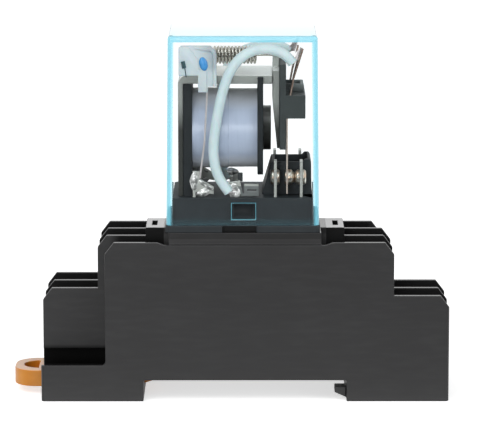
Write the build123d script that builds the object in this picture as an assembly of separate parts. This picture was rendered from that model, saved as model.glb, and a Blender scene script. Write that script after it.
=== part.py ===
"""A plug-in power relay with two changeover contacts, in its screw socket for a 35 mm rail.

Millimetres. X runs along the socket, Y away from the viewer, Z up.
The origin is the middle of the rail seat, the ceiling of the notch in the socket's underside.
"""
from build123d import *
import os
from math import radians, tan

# Socket housing, heights above the feet
DEPTH = 23.0
BAYS = 3
WALL = 1.0
BLOCK_REACH = 17.6
UPPER_TIER_L = 8.6
LOWER_TIER_L = 9.8
NOTCH_W = 35.9
NOTCH_H = 3.8
FOOT_TO_SEAT = 30.1
SEAT_RISE = 1.6
TIER_STEP = 9.5
BAY_DEEP = 6.5
SEAT_BACK = 4.2
STEP_WALL = 0.8
BLOCK_DROP = 0.45
CORNER_X = 1.6
CORNER_Z = 2.1
BACK_INSET = 1.5
LEDGE_H = 6.5
SUNK_FLOOR_H = 5.0
UNDERCUT_H = 1.5
UNDERCUT_DEEP = 0.6
LEDGE_ROUND = 0.6
CORNER_ROUND = 0.6
SHORT_WALL = 1.55
HOLE_TO_END = 6.5
HOLE_R = 2.15
EAR_HALF_Y = 4.9
EAR_DEEP = 5.7
EAR_SLOT_TO_END = 1.5
EAR_SLOT_W = 0.9
EAR_SLOT_L = 4.7
EAR_SLOT_DEEP = 5.0
HOOK_REACH = 2.1
HOOK_TOP_H = 2.4
HOOK_TIP = 0.95
HOOK_FOOT_H = 0.5
HOOK_LONG = 3.0
COVER_PLATE_T = 1.2
COVER_PLATE_BACK = 0.25
COVER_PLATE_SIDE = 1.1
SNUG = 0.1

# Rail clip
CLIP_HEAD_W = 10.5
CLIP_W = 8.6
CLIP_T = 3.0
CLIP_LOW_H = 1.3
CLIP_HEAD_REACH = 5.3
CLIP_JAW_REACH = 1.6
CLIP_JAW_T = 1.0
CLIP_HOLE_X = 2.7
CLIP_HOLE_Y = 6.3
CLIP_EYE_WALL = 1.0

# Socket terminals
STRIP_T = 0.8
PLATE_GAP = 0.37
PLATE_L = 6.6
TONGUE_W = 2.6
SHANK_TO_EDGE = 1.2
SHANK_L = 6.0
HEAD_T = 2.2
HEAD_INSIDE = 0.05
DRIVE_SLOT = 0.9
DRIVE_DEEP = 1.1
WASHER_GAP = 0.22
WASHER_T = 0.8
WASHER_CORNER = 0.7
THREAD_GAP = 0.1
FORK_LEAF = 0.35
FORK_H = 6.4
FORK_FOOT = 0.6
FORK_GAP = 0.03

# Relay, in its own frame: X and Y from its middle, Z from the socket's seat
RELAY_X = -0.4
RELAY_BACK = 1.1
FLANGE_HALF_X = 13.6
FLANGE_T = 1.25
FLANGE_CORNER = 0.6
BASE_TOP = 5.95
TOWER_UP = 5.75
TOWER_LIP = 0.5
TOWER_WALL = 0.6
TOWER_PAST = 0.65
TOWER_SLOPE = 2.0
COVER_BACK = 0.13
COVER_H = 33.5
COVER_DRAFT = 0.667
COVER_WALL = 1.0
COVER_ROOF = 1.2
COVER_EDGE = 0.7
COVER_GAP = 0.08
WINDOW_W = 3.9
WINDOW_H = 2.6
WINDOW_LOW = 2.5
WINDOW_X = 0.15
CATCH_BACK = 0.35
FINGER_SLOT_W = 6.0
FINGER_SLOT_X = -0.5
FINGER_SLOT_DEEP = 0.8

# Blades
BLADE_T = 0.5
BLADE_W = 2.6
BLADE_L = 6.4
BLADE_POINT = 0.7
BLADE_EYE_R = 0.65
BLADE_EYE_UP = 2.6
ROW_TO_COVER = 2.8

# Coil and magnet
YOKE_T = 1.5
YOKE_LEG_T = 0.9
YOKE_TO_ROOF = 6.15
YOKE_TO_SIDE = 1.12
YOKE_BEND = 1.6
FLANGE_LEFT_T = 1.55
FLANGE_RIGHT_T = 1.0
TUBE_SHARE = 0.486
TUBE_WALL = 0.8
POLE_LIP = 0.55
POLE_T = 1.4
POLE_GAP = 0.2
COIL_ABOVE = 1.7
COIL_BELOW = 4.25
TAPE_LAP = 5.1
TAPE_T = 0.12

# Armature, carrier and springs
ARMATURE_T = 1.15
ARMATURE_TOE_T = 0.4
ARMATURE_GAP = 0.1
POST_HALF_Y = 1.7
CARRIER_T = 1.15
CARRIER_TO_COVER = 1.2
BLOCK_LONG = 4.1
BLOCK_DOWN = 7.5
BLOCK_WALL = 0.6
RIB_UP = 1.4
RIB_HALF_Y = 3.0
RIB_IN = 0.25
LEAF_T = 0.15
RIVET_R = 1.35
RIVET_UP = 3.35
BACK_HEAD_T = 0.6
NO_HEAD_T = 0.55
NC_HEAD_T = 0.87
NO_OPENING = 0.85
NC_OPENING = 0.04
SPRING_OD = 2.8
SPRING_WIRE = 0.3
SPRING_PITCH = 0.57
SPRING_TURNS = 13
SPRING_UP = 2.8
TAB_T = 0.8

# Leads and lamp
WIRE_R = 0.9
WIRE_TO_COVER = 0.42
STRAND_R = 0.3
STRAND_GAP = 0.2
LEAD_R = 0.18
BACK_LEAD_DOWN = 1.3
HOLDER_TO_COVER = 0.5
LAMP_W = 1.5
LAMP_DEEP = 1.3
LAMP_H = 2.4
RESISTOR_R = 0.9
RESISTOR_L = 4.2

# What follows from them: the socket
UPPER_REACH = BLOCK_REACH + UPPER_TIER_L
HALF = UPPER_REACH + LOWER_TIER_L
FRONT = -DEPTH / 2
PITCH = (DEPTH - WALL) / BAYS
NOTCH_HALF = NOTCH_W / 2
SEAT_REACH = BLOCK_REACH - SEAT_BACK
BAY_END = UPPER_REACH - SHORT_WALL
FOOT_Z = -NOTCH_H
SEAT_Z = FOOT_TO_SEAT - NOTCH_H
UPPER_Z = SEAT_Z - SEAT_RISE
LOWER_Z = UPPER_Z - TIER_STEP
UPPER_FLOOR = UPPER_Z - BAY_DEEP
LOWER_FLOOR = LOWER_Z - BAY_DEEP
BLOCK_Z = UPPER_Z - BLOCK_DROP
LEDGE_Z = LEDGE_H - NOTCH_H
SUNK_Z = SUNK_FLOOR_H - NOTCH_H
SCREW_LOW_X = (UPPER_REACH - STEP_WALL + HALF) / 2
SCREW_HIGH_X = (UPPER_REACH - STEP_WALL + BLOCK_REACH) / 2
HOLE_X = HALF - HOLE_TO_END
HOLE_Y = -(FRONT + WALL + FRONT + PITCH) / 2
EAR_SLOT_X = BLOCK_REACH - EAR_SLOT_TO_END
COVER_PLATE_X = NOTCH_HALF - HOOK_REACH - COVER_PLATE_BACK
COVER_PLATE_Y = -FRONT - WALL - COVER_PLATE_SIDE
WASHER_W = PITCH - WALL - 2 * WASHER_GAP
PLATE_W = PITCH - WALL - 2 * PLATE_GAP
HEAD_R = WASHER_W / 2 - HEAD_INSIDE
SHANK_R = WASHER_W / 2 - SHANK_TO_EDGE

# And the relay
RELAY_D = DEPTH - 2 * RELAY_BACK
COVER_LOW_HALF = FLANGE_HALF_X - COVER_BACK
INNER_X = COVER_LOW_HALF - COVER_WALL
INNER_Y = RELAY_D / 2 - COVER_WALL
ROW_Y = INNER_Y - ROW_TO_COVER
WIRE_Y = INNER_Y - WIRE_TO_COVER - WIRE_R
YOKE_HALF_Y = WIRE_Y - WIRE_R - COVER_GAP
YOKE_TOP = FLANGE_T + COVER_H - COVER_ROOF - YOKE_TO_ROOF
YOKE_OUT = YOKE_TO_SIDE - INNER_X
LEFT_FLANGE = (YOKE_OUT + YOKE_LEG_T, YOKE_OUT + YOKE_LEG_T + FLANGE_LEFT_T)
COIL_X = LEFT_FLANGE[1] + 0.35
COM_X = COIL_X + 6.55
NC_X = INNER_X - 2.17
NO_X = NC_X - 4.55
LEAF_X = NC_X - 2.5
YOKE_END = NO_X - 0.55
RIGHT_FLANGE = (YOKE_END - POLE_GAP - POLE_T - FLANGE_RIGHT_T, YOKE_END - POLE_GAP - POLE_T)
TAPE_EDGE_X = RIGHT_FLANGE[0] - TAPE_LAP
COIL_ROOM = YOKE_TOP - YOKE_T - BASE_TOP - COIL_ABOVE - COIL_BELOW
WINDING_R = min(YOKE_HALF_Y - TAPE_T + 0.02, COIL_ROOM / 2)
COIL_Z = YOKE_TOP - YOKE_T - COIL_ABOVE - WINDING_R
TUBE_R = WINDING_R * TUBE_SHARE
CORE_R = TUBE_R - TUBE_WALL
POLE_R = TUBE_R + POLE_LIP
ARMATURE_HALF_Y = YOKE_HALF_Y - 0.6
CARRIER_HALF_Y = INNER_Y - CARRIER_TO_COVER
CARRIER_LOW = COIL_Z - 2.8
ARMATURE_KNEE = COIL_Z + WINDING_R * 0.7
CARRIER_TOP = YOKE_TOP + 2.0
POST_TOP = YOKE_TOP + 3.5
BLOCK_LOW = YOKE_TOP - BLOCK_DOWN
BLOCK_TOP = BLOCK_LOW + BLOCK_LONG
BLOCK_X = NC_X + 0.7
TOWER_HALF_Y = ROW_Y - BLADE_W / 2 - 0.7
TOWER_LOW = BASE_TOP - 1.0
TOWER_SHOULDER = BASE_TOP + TOWER_UP
TOWER_TOP = TOWER_SHOULDER + TOWER_LIP
LEAF_TIP = BASE_TOP + 0.6
LEAF_TOP = (LEAF_X + 2.4, YOKE_TOP + 4.7)
LEAF_BEND = (LEAF_X + 1.1, YOKE_TOP - 0.5)
RIVET_Z = BASE_TOP + RIVET_UP
NO_FACE = NO_X + BLADE_T / 2 + NO_HEAD_T
NC_FACE = NC_X - BLADE_T / 2 - NC_HEAD_T
MOVING_LOW_FACE = NO_FACE + NO_OPENING
MOVING_HIGH_FACE = NC_FACE - NC_OPENING
SPRING_Z = YOKE_TOP + SPRING_UP
SPRING_X = YOKE_END - 10.15
TAB_X = SPRING_X - 2.8
TAB_TOP = YOKE_TOP + 4.0
HOLDER_Y = (HOLDER_TO_COVER - INNER_Y, -YOKE_HALF_Y - 0.05)
LAMP_X = YOKE_OUT + 4.65
LAMP_Z = YOKE_TOP + 2.2
RESISTOR_X = YOKE_OUT + 4.95
RESISTOR_Y = INNER_Y - 1.8
RESISTOR_Z = YOKE_TOP + 1.9


def box(x0, x1, y0, y1, z0, z1):
    """A block between two corners."""
    place = Pos((x0 + x1) / 2, (y0 + y1) / 2, (z0 + z1) / 2)
    return place * Box(x1 - x0, y1 - y0, z1 - z0)


def plate(points, y0, y1):
    """An outline in X and Z, given its thickness from y0 to y1."""
    outline = make_face(Polyline(*points, close=True))
    return extrude(Plane.XZ.offset(-y1) * outline, amount=y1 - y0)


def rod_x(radius, x0, x1, y, z):
    """A round bar along X."""
    return Pos((x0 + x1) / 2, y, z) * Rot(0, 90, 0) * Cylinder(radius, x1 - x0)


def rod_z(radius, x, y, z0, z1):
    """A round bar along Z."""
    return Pos(x, y, (z0 + z1) / 2) * Cylinder(radius, z1 - z0)


def one(shape):
    """The shape's one solid, or its solids as one compound."""
    solids = shape.solids()
    return solids[0] if len(solids) == 1 else Compound(children=solids)


def in_relay(shape):
    """Moves a piece from the relay's frame to the socket's."""
    return Pos(RELAY_X, 0, SEAT_Z) * shape


def turned(shape):
    """The same shape at the other end of the socket."""
    return Rot(0, 0, 180) * shape


# Socket

def full_side():
    """Half of a wall's outline where both tiers run to the end."""
    return [
        (UPPER_REACH - CORNER_X, UPPER_Z),
        (UPPER_REACH, UPPER_Z - CORNER_Z),
        (UPPER_REACH, LOWER_Z),
        (HALF - CORNER_X, LOWER_Z),
        (HALF, LOWER_Z - CORNER_Z),
        (HALF, FOOT_Z),
        (NOTCH_HALF, FOOT_Z),
        (NOTCH_HALF, 0),
    ]


def short_side():
    """Half of a wall's outline beside a fixing hole, where only the foot runs to the end."""
    return [
        (BAY_END - CORNER_X, UPPER_Z),
        (BAY_END, UPPER_Z - CORNER_Z),
        (BAY_END, LEDGE_Z + LEDGE_ROUND),
        (BAY_END + LEDGE_ROUND * 0.3, LEDGE_Z + LEDGE_ROUND * 0.3),
        (BAY_END + LEDGE_ROUND, LEDGE_Z),
        (HALF, LEDGE_Z),
        (HALF, FOOT_Z),
        (NOTCH_HALF, FOOT_Z),
        (NOTCH_HALF, 0),
    ]


def wall(number):
    """One of the four lengthwise walls, numbered from the front."""
    right = short_side() if number == BAYS else full_side()
    left = short_side() if number == 0 else full_side()
    points = right + [(-x, z) for x, z in reversed(left)]
    y = FRONT + number * PITCH
    return plate(points, y, y + WALL)


def core_side():
    """Half of the outline of what stands between the walls: floors, steps and block."""
    step = UPPER_REACH - STEP_WALL
    return [
        (BLOCK_REACH, BLOCK_Z),
        (BLOCK_REACH, UPPER_FLOOR),
        (step, UPPER_FLOOR),
        (step, LOWER_FLOOR),
        (HALF, LOWER_FLOOR),
        (HALF, FOOT_Z),
        (NOTCH_HALF, FOOT_Z),
        (NOTCH_HALF, 0),
    ]


def hook():
    """A fixed catch for the rail's edge, behind a side plate."""
    top = HOOK_TOP_H - NOTCH_H
    points = [
        (NOTCH_HALF + WALL, top),
        (NOTCH_HALF - HOOK_REACH, top),
        (NOTCH_HALF - HOOK_REACH, top - HOOK_TIP),
        (NOTCH_HALF, HOOK_FOOT_H - NOTCH_H),
        (NOTCH_HALF + WALL, HOOK_FOOT_H - NOTCH_H),
    ]
    y = FRONT + WALL
    return plate(points, y, y + HOOK_LONG) + plate(points, -y - HOOK_LONG, -y)


def hole_bay():
    """What is open round one fixing hole, at the left front."""
    inner = FRONT + PITCH
    past = 1.0
    bay = box(-HALF - past, -BAY_END, FRONT + WALL, inner, SUNK_Z, UPPER_Z)
    under = box(-HALF - past, -BAY_END, inner - past, inner + UNDERCUT_DEEP, SUNK_Z,
                LEDGE_Z + UNDERCUT_H)
    bend = LEDGE_ROUND
    gap = plate([(-HALF - past, LEDGE_Z), (-BAY_END - bend, LEDGE_Z),
                 (-BAY_END - bend * 0.3, LEDGE_Z + bend * 0.3), (-BAY_END, LEDGE_Z + bend),
                 (-BAY_END, UPPER_Z), (-HALF - past, UPPER_Z)], FRONT - past, inner)
    hole = rod_z(HOLE_R, -HOLE_X, -HOLE_Y, FOOT_Z - past, SUNK_Z + past)
    return bay + under + gap + hole


def ear_pocket():
    """The deep recess in front of the spring ear at the left."""
    front = FRONT + WALL
    return box(-BLOCK_REACH, -SEAT_REACH, front, -EAR_HALF_Y, SEAT_Z - EAR_DEEP, UPPER_Z)


def plate_dip():
    """The middle of a side plate's top edge is a little lower."""
    low = SEAT_REACH + 0.8
    high = low + 1.2
    points = [(-high, UPPER_Z + 1), (-high, UPPER_Z), (-low, BLOCK_Z),
              (low, BLOCK_Z), (high, UPPER_Z), (high, UPPER_Z + 1)]
    return plate(points, FRONT - 1, FRONT + WALL)


def housing_blank():
    """The moulding before it is cored for its metal pieces."""
    core = core_side()
    body = plate(core + [(-x, z) for x, z in reversed(core)], FRONT, -FRONT)
    for number in range(BAYS + 1):
        body += wall(number)
    seat = SEAT_REACH
    body += box(-seat, seat, FRONT + WALL, -FRONT - WALL, BLOCK_Z - 1, SEAT_Z)
    for side in (-1, 1):
        ear = box(SEAT_REACH - 1, BLOCK_REACH, -EAR_HALF_Y, EAR_HALF_Y, BLOCK_Z - 1, SEAT_Z)
        slot = box(EAR_SLOT_X - EAR_SLOT_W / 2, EAR_SLOT_X + EAR_SLOT_W / 2,
                   -EAR_SLOT_L / 2, EAR_SLOT_L / 2, SEAT_Z - EAR_SLOT_DEEP, SEAT_Z + 1)
        ear -= slot
        body += ear if side > 0 else turned(ear)
        body -= slot if side > 0 else turned(slot)
    pocket = ear_pocket()
    for cut in (pocket, mirror(pocket, Plane.YZ)):
        body -= cut
        body -= turned(cut)
    for cut in (hole_bay(), plate_dip()):
        body -= cut
        body -= turned(cut)
    reach = UPPER_REACH - BACK_INSET
    body -= box(reach, HALF + 1, -FRONT - WALL - 0.01, -FRONT + 1, LOWER_Z, UPPER_Z + 1)
    corners = [e for e in body.edges().filter_by(Axis.Z)
               if abs(abs(e.center().X) - HALF) < SNUG and abs(abs(e.center().Y) + FRONT) < SNUG]
    return fillet(corners, CORNER_ROUND) + hook()


def terminal_key(side, tier, bay):
    """Plan positions of one terminal: screw X, bay Y, blade X and blade Y."""
    screw_x = side * (SCREW_LOW_X if tier == "lower" else SCREW_HIGH_X)
    bay_y = -side * PITCH * bay
    row_y = side * ROW_Y if bay == 0 else -side * ROW_Y
    if side < 0:
        blade = COIL_X if tier == "upper" else COM_X
    else:
        blade = NC_X if tier == "upper" else NO_X
    return screw_x, bay_y, RELAY_X + blade, row_y


def strip_runs(side, tier, bay, grow=0.0):
    """The plate, tongue, cross strap and riser of a terminal, each grown by a clearance."""
    screw_x, bay_y, blade_x, row_y = terminal_key(side, tier, bay)
    floor = LOWER_FLOOR if tier == "lower" else UPPER_FLOOR
    top = floor + STRIP_T
    half = TONGUE_W / 2
    plate_out = screw_x + side * PLATE_L / 2
    xs = sorted((plate_out, screw_x - side * PLATE_L / 2))
    runs = [box(xs[0] - grow, xs[1] + grow, bay_y - PLATE_W / 2 - grow,
                bay_y + PLATE_W / 2 + grow, floor, top + grow)]
    riser_out = blade_x + side * (BLADE_T / 2 + FORK_GAP + FORK_LEAF)
    xs = sorted((screw_x, riser_out))
    runs.append(box(xs[0] - grow, xs[1] + grow, bay_y - half - grow, bay_y + half + grow,
                    floor, top + grow))
    ys = sorted((bay_y, row_y))
    xs = sorted((riser_out, riser_out + side * TONGUE_W))
    runs.append(box(xs[0] - grow, xs[1] + grow, ys[0] - half - grow, ys[1] + half + grow,
                    floor, top + grow))
    return runs


def fork_box(side, tier, bay, grow=0.0):
    """The block that the fork and its riser fill."""
    blade_x, row_y = terminal_key(side, tier, bay)[2:]
    floor = LOWER_FLOOR if tier == "lower" else UPPER_FLOOR
    reach = BLADE_T / 2 + FORK_GAP + FORK_LEAF
    half = TONGUE_W / 2
    top = UPPER_FLOOR + STRIP_T + FORK_H
    return box(blade_x - reach - grow, blade_x + reach + grow, row_y - half - grow,
               row_y + half + grow, floor, top + grow)


def terminal(side, tier, bay):
    """A stamped brass strip: screw plate, tongue and the fork that grips a blade."""
    screw_x, bay_y, blade_x, row_y = terminal_key(side, tier, bay)
    runs = strip_runs(side, tier, bay)
    body = runs[0] + runs[1] + runs[2]
    fork = fork_box(side, tier, bay)
    mouth = BLADE_T / 2 + FORK_GAP
    half = TONGUE_W / 2
    foot = UPPER_FLOOR + STRIP_T + FORK_FOOT
    fork -= box(blade_x - mouth, blade_x + mouth, row_y - half - 1, row_y + half + 1, foot, SEAT_Z)
    if tier == "lower":
        inner = sorted((blade_x + side * mouth, blade_x - side * 3))
        fork -= box(inner[0], inner[1], row_y - half - 1, row_y + half + 1,
                    LOWER_FLOOR - 1, foot - FORK_FOOT)
    body += fork
    floor = LOWER_FLOOR if tier == "lower" else UPPER_FLOOR
    return body - rod_z(SHANK_R + THREAD_GAP, screw_x, bay_y, floor - 1, floor + STRIP_T + 1)


def terminal_room(side, tier, bay):
    """What the housing leaves free for a terminal, its screw and the blade above it."""
    screw_x, bay_y, blade_x, row_y = terminal_key(side, tier, bay)
    floor = LOWER_FLOOR if tier == "lower" else UPPER_FLOOR
    runs = strip_runs(side, tier, bay, SNUG)
    room = runs[0] + runs[1] + runs[2] + fork_box(side, tier, bay, SNUG)
    tip = floor + STRIP_T + WASHER_T - SHANK_L
    room += rod_z(SHANK_R + THREAD_GAP, screw_x, bay_y, tip - SNUG, floor + 1)
    thick = BLADE_T / 2 + SNUG
    wide = BLADE_W / 2 + SNUG
    return room + box(blade_x - thick, blade_x + thick, row_y - wide, row_y + wide,
                      SEAT_Z - 3, SEAT_Z + 1)


TERMINALS = [(side, tier, bay) for side in (-1, 1) for tier in ("lower", "upper")
             for bay in (0, 1)]


def clip_room():
    """The guide for the rail clip through the left foot."""
    low = CLIP_LOW_H - NOTCH_H - SNUG
    half = CLIP_W / 2 + SNUG
    return box(-HALF - 1, -NOTCH_HALF, -half, half, low, low + CLIP_T + 2 * SNUG)


def socket_housing():
    """The black moulding with its two tiers of bays at each end."""
    body = housing_blank()
    for key in TERMINALS:
        body -= terminal_room(*key)
    body -= clip_room()
    body -= box(-COVER_PLATE_X - SNUG, COVER_PLATE_X + SNUG, -COVER_PLATE_Y - SNUG,
                COVER_PLATE_Y + SNUG, -1, COVER_PLATE_T + SNUG)
    body -= box(-COVER_PLATE_X + WALL, COVER_PLATE_X - WALL, -COVER_PLATE_Y + WALL,
                COVER_PLATE_Y - WALL, 0, LOWER_FLOOR - WALL)
    return body


def bottom_cover():
    """The plate that closes the underside between the feet."""
    return box(-COVER_PLATE_X, COVER_PLATE_X, -COVER_PLATE_Y, COVER_PLATE_Y, 0, COVER_PLATE_T)


def terminal_screw(side, tier, bay):
    """A slotted pan-head screw."""
    screw_x, bay_y = terminal_key(side, tier, bay)[:2]
    floor = LOWER_FLOOR if tier == "lower" else UPPER_FLOOR
    under = floor + STRIP_T + WASHER_T
    head = rod_z(HEAD_R, screw_x, bay_y, under, under + HEAD_T)
    head = chamfer(head.edges().sort_by(Axis.Z)[-1], HEAD_T * 0.3)
    body = head + rod_z(SHANK_R, screw_x, bay_y, under - SHANK_L, under)
    top = under + HEAD_T
    return body - box(screw_x - HEAD_R, screw_x + HEAD_R, bay_y - DRIVE_SLOT / 2,
                      bay_y + DRIVE_SLOT / 2, top - DRIVE_DEEP, top + 1)


def terminal_washer(side, tier, bay):
    """The square clamping washer that stays on its screw."""
    screw_x, bay_y = terminal_key(side, tier, bay)[:2]
    floor = LOWER_FLOOR if tier == "lower" else UPPER_FLOOR
    low = floor + STRIP_T
    half = WASHER_W / 2
    body = box(screw_x - half, screw_x + half, bay_y - half, bay_y + half, low, low + WASHER_T)
    body = chamfer(body.edges().filter_by(Axis.Z), WASHER_CORNER)
    return body - rod_z(SHANK_R + THREAD_GAP / 2, screw_x, bay_y, low - 1, low + WASHER_T + 1)


def din_clip():
    """The sprung catch: a pull tab outside, a tongue in the foot and a jaw over the rail."""
    low = CLIP_LOW_H - NOTCH_H
    high = low + CLIP_T
    out = -HALF - CLIP_HEAD_REACH
    head = box(out, -HALF - 0.1, -CLIP_HEAD_W / 2, CLIP_HEAD_W / 2, low, high)
    head = fillet(head.edges().filter_by(Axis.Z).sort_by(Axis.X)[:2], CLIP_HEAD_REACH * 0.75)
    straight = -HALF - CLIP_EYE_WALL
    bow = (CLIP_HOLE_X ** 2 + (CLIP_HOLE_Y / 2) ** 2) / (2 * CLIP_HOLE_X)
    eye = rod_z(bow, straight + bow - CLIP_HOLE_X, 0, low - 1, high + 1)
    head -= eye & box(straight - CLIP_HOLE_X - 1, straight, -bow, bow, low - 1, high + 1)
    tongue = box(-HALF - 0.1, -NOTCH_HALF - 0.6, -CLIP_W / 2, CLIP_W / 2, low, high)
    window = box(-HALF + 3.0, -NOTCH_HALF - 4.5, -CLIP_W / 2 + 1.6, CLIP_W / 2 - 1.6, low - 1, high + 1)
    jaw_low = 1.7 - NOTCH_H
    jaw_high = jaw_low + CLIP_JAW_T
    tip = -NOTCH_HALF + CLIP_JAW_REACH
    jaw = plate([(-NOTCH_HALF - 1, low), (-NOTCH_HALF, jaw_low), (tip, jaw_low + 0.5),
                 (tip, jaw_high), (-NOTCH_HALF - 1, jaw_high)], -CLIP_W / 2, CLIP_W / 2)
    return head + (tongue - window) + jaw


# Relay

def cover_shell(half_x, half_y, low, high, edge):
    """A drafted block, wide at its open end."""
    outline = RectangleRounded(half_x * 2, half_y * 2, edge)
    return extrude(Pos(0, 0, low) * outline, amount=high - low, taper=COVER_DRAFT)


def latch_windows(clear):
    """The two openings that the base's catches spring into."""
    half = WINDOW_W / 2 + clear
    reach = RELAY_D / 2 + 1
    return box(WINDOW_X - half, WINDOW_X + half, -reach, reach, WINDOW_LOW - clear,
               WINDOW_LOW + WINDOW_H + clear)


def relay_cover():
    """The clear dust cover, open below."""
    top = FLANGE_T + COVER_H
    outer = cover_shell(COVER_LOW_HALF, RELAY_D / 2, FLANGE_T, top, COVER_EDGE * 1.5)
    outer = fillet(outer.faces().sort_by(Axis.Z)[-1].edges(), COVER_EDGE)
    inner = cover_shell(COVER_LOW_HALF - COVER_WALL, RELAY_D / 2 - COVER_WALL, FLANGE_T - 0.01,
                        top - COVER_ROOF, COVER_EDGE)
    shell = outer - inner
    middle = INNER_Y - COVER_WALL
    room = latch_windows(SNUG) - box(-HALF, HALF, -middle, middle, 0, BASE_TOP)
    return in_relay(shell - room)


def relay_base():
    """The black base: flange, plinth inside the cover, barrier tower and catches."""
    body = box(-FLANGE_HALF_X, FLANGE_HALF_X, -RELAY_D / 2, RELAY_D / 2, 0, FLANGE_T)
    body = chamfer(body.edges().filter_by(Axis.Z), FLANGE_CORNER)
    inset = COVER_WALL + COVER_GAP
    plinth = cover_shell(COVER_LOW_HALF - inset, RELAY_D / 2 - inset, FLANGE_T, BASE_TOP,
                         COVER_EDGE)
    body += plinth
    foot = NO_X - TOWER_PAST - TOWER_SLOPE
    body += plate([(foot, TOWER_LOW), (NO_X - TOWER_PAST, TOWER_SHOULDER),
                   (NC_X + 0.3, TOWER_SHOULDER), (NC_X + 0.7, TOWER_TOP), (NC_X + 1.5, TOWER_TOP),
                   (NC_X + 1.8, TOWER_SHOULDER), (NC_X + 1.9, TOWER_LOW)],
                  -TOWER_HALF_Y, TOWER_HALF_Y)
    open_y = TOWER_HALF_Y - TOWER_WALL
    body -= box(NO_X - TOWER_PAST + TOWER_WALL, NC_X + 1.2, -open_y, open_y, BASE_TOP, TOWER_TOP + 1)
    catch = WINDOW_W / 2
    for side in (-1, 1):
        y0, y1 = sorted((side * (INNER_Y - COVER_WALL), side * (RELAY_D / 2 - CATCH_BACK)))
        body += box(WINDOW_X - catch, WINDOW_X + catch, y0, y1, WINDOW_LOW, WINDOW_LOW + WINDOW_H)
        y0, y1 = sorted((side * (RELAY_D / 2 - FINGER_SLOT_DEEP), side * (RELAY_D / 2 + 1)))
        slot = FINGER_SLOT_W / 2
        body -= box(FINGER_SLOT_X - slot, FINGER_SLOT_X + slot, y0, y1, -1, FLANGE_T)
    for x in (COIL_X, COM_X, NO_X, NC_X):
        for y in (-ROW_Y, ROW_Y):
            body -= blade_room(x, y)
    return in_relay(body)


def blade_room(x, y):
    """The slot in the base that a blade is pressed through."""
    thick = BLADE_T / 2 + COVER_GAP / 2
    wide = BLADE_W / 2 + COVER_GAP / 2
    return box(x - thick, x + thick, y - wide, y + wide, -1, BASE_TOP + 10)


def blade(x, y, top):
    """A flat plug-in blade with a pointed foot and a solder eye."""
    half = BLADE_W / 2
    low = -BLADE_L
    point = BLADE_POINT
    outline = make_face(Polyline((-half, top), (-half, low + point), (-half + point, low),
                                 (half - point, low), (half, low + point), (half, top), close=True))
    flat = extrude(Plane.YZ * outline, amount=BLADE_T / 2, both=True)
    eye = rod_x(BLADE_EYE_R, -BLADE_T, BLADE_T, 0, low + BLADE_EYE_UP)
    return Pos(x, y, 0) * (flat - eye)


def coil_terminal(row):
    """A blade with a lug above the base for the coil's end."""
    y = row * ROW_Y
    body = blade(COIL_X, y, BASE_TOP + 3.6)
    out = row * (ROW_Y + BLADE_W / 2)
    y0, y1 = sorted((out, out - row * BLADE_T))
    left = COIL_X - BLADE_T / 2
    pin = COIL_X + 0.95
    tip = COIL_X + 3.45
    lug = plate([(left, BASE_TOP + 0.9), (pin, BASE_TOP + 0.9), (tip, BASE_TOP + 0.5),
                 (tip, BASE_TOP + 1.8), (pin, BASE_TOP + 3.3), (pin, BASE_TOP + 4.6),
                 (left, BASE_TOP + 4.6)], y0, y1)
    return in_relay(body + lug)


def com_terminal(row):
    """A blade with a wide lug that the moving contact's lead is soldered to."""
    y = row * ROW_Y
    body = blade(COM_X, y, BASE_TOP + 1.6)
    out = row * (ROW_Y + BLADE_W / 2)
    y0, y1 = sorted((out, out - row * BLADE_T))
    left = COM_X - BLADE_T / 2
    near = COM_X + 2.0
    if row > 0:
        return in_relay(body + box(left, near, y0, y1, BASE_TOP + 0.3, BASE_TOP + 1.9))
    far = near + 0.26
    tip = COM_X + 4.8
    lug = plate([(left, BASE_TOP + 0.15), (tip, BASE_TOP + 0.15), (tip, BASE_TOP + 2.3),
                 (far, BASE_TOP + 2.3), (far, BASE_TOP + 0.6), (near, BASE_TOP + 0.6),
                 (near - 0.5, BASE_TOP + 3.0), (left, BASE_TOP + 2.6)], y0, y1)
    slot = box(far + 0.5, tip - 0.4, y0 - 1, y1 + 1, BASE_TOP + 1.0, BASE_TOP + 1.4)
    return in_relay(body + (lug - slot))


def fixed_strip(x, row):
    """A blade that runs on up to carry a fixed contact."""
    hole = rod_x(RIVET_R * 0.5, x - BLADE_T, x + BLADE_T, row * ROW_Y, RIVET_Z)
    return in_relay(blade(x, row * ROW_Y, RIVET_Z + 3.0) - hole)


def rivet_head(x0, x1, y, dome):
    """A contact head along X, its domed face at the end that is named."""
    head = rod_x(RIVET_R, x0, x1, y, RIVET_Z)
    face = head.edges().filter_by(GeomType.CIRCLE).sort_by(Axis.X)[-1 if dome > 0 else 0]
    return chamfer(face, (x1 - x0) * 0.45)


def fixed_contacts(x, face):
    """The silver rivets of two fixed strips, headed on both sides."""
    side = 1 if face > x else -1
    pair = []
    for y in (-ROW_Y, ROW_Y):
        near = x + side * BLADE_T / 2
        far = x - side * BLADE_T / 2
        a, b = sorted((near, face))
        front = rivet_head(a, b, y, side)
        a, b = sorted((far, far - side * BACK_HEAD_T))
        back = rivet_head(a, b, y, -side)
        a, b = sorted((near, far))
        pair.append(front + back + rod_x(RIVET_R * 0.5, a - 0.05, b + 0.05, y, RIVET_Z))
    return in_relay(pair[0] + pair[1])


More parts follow.
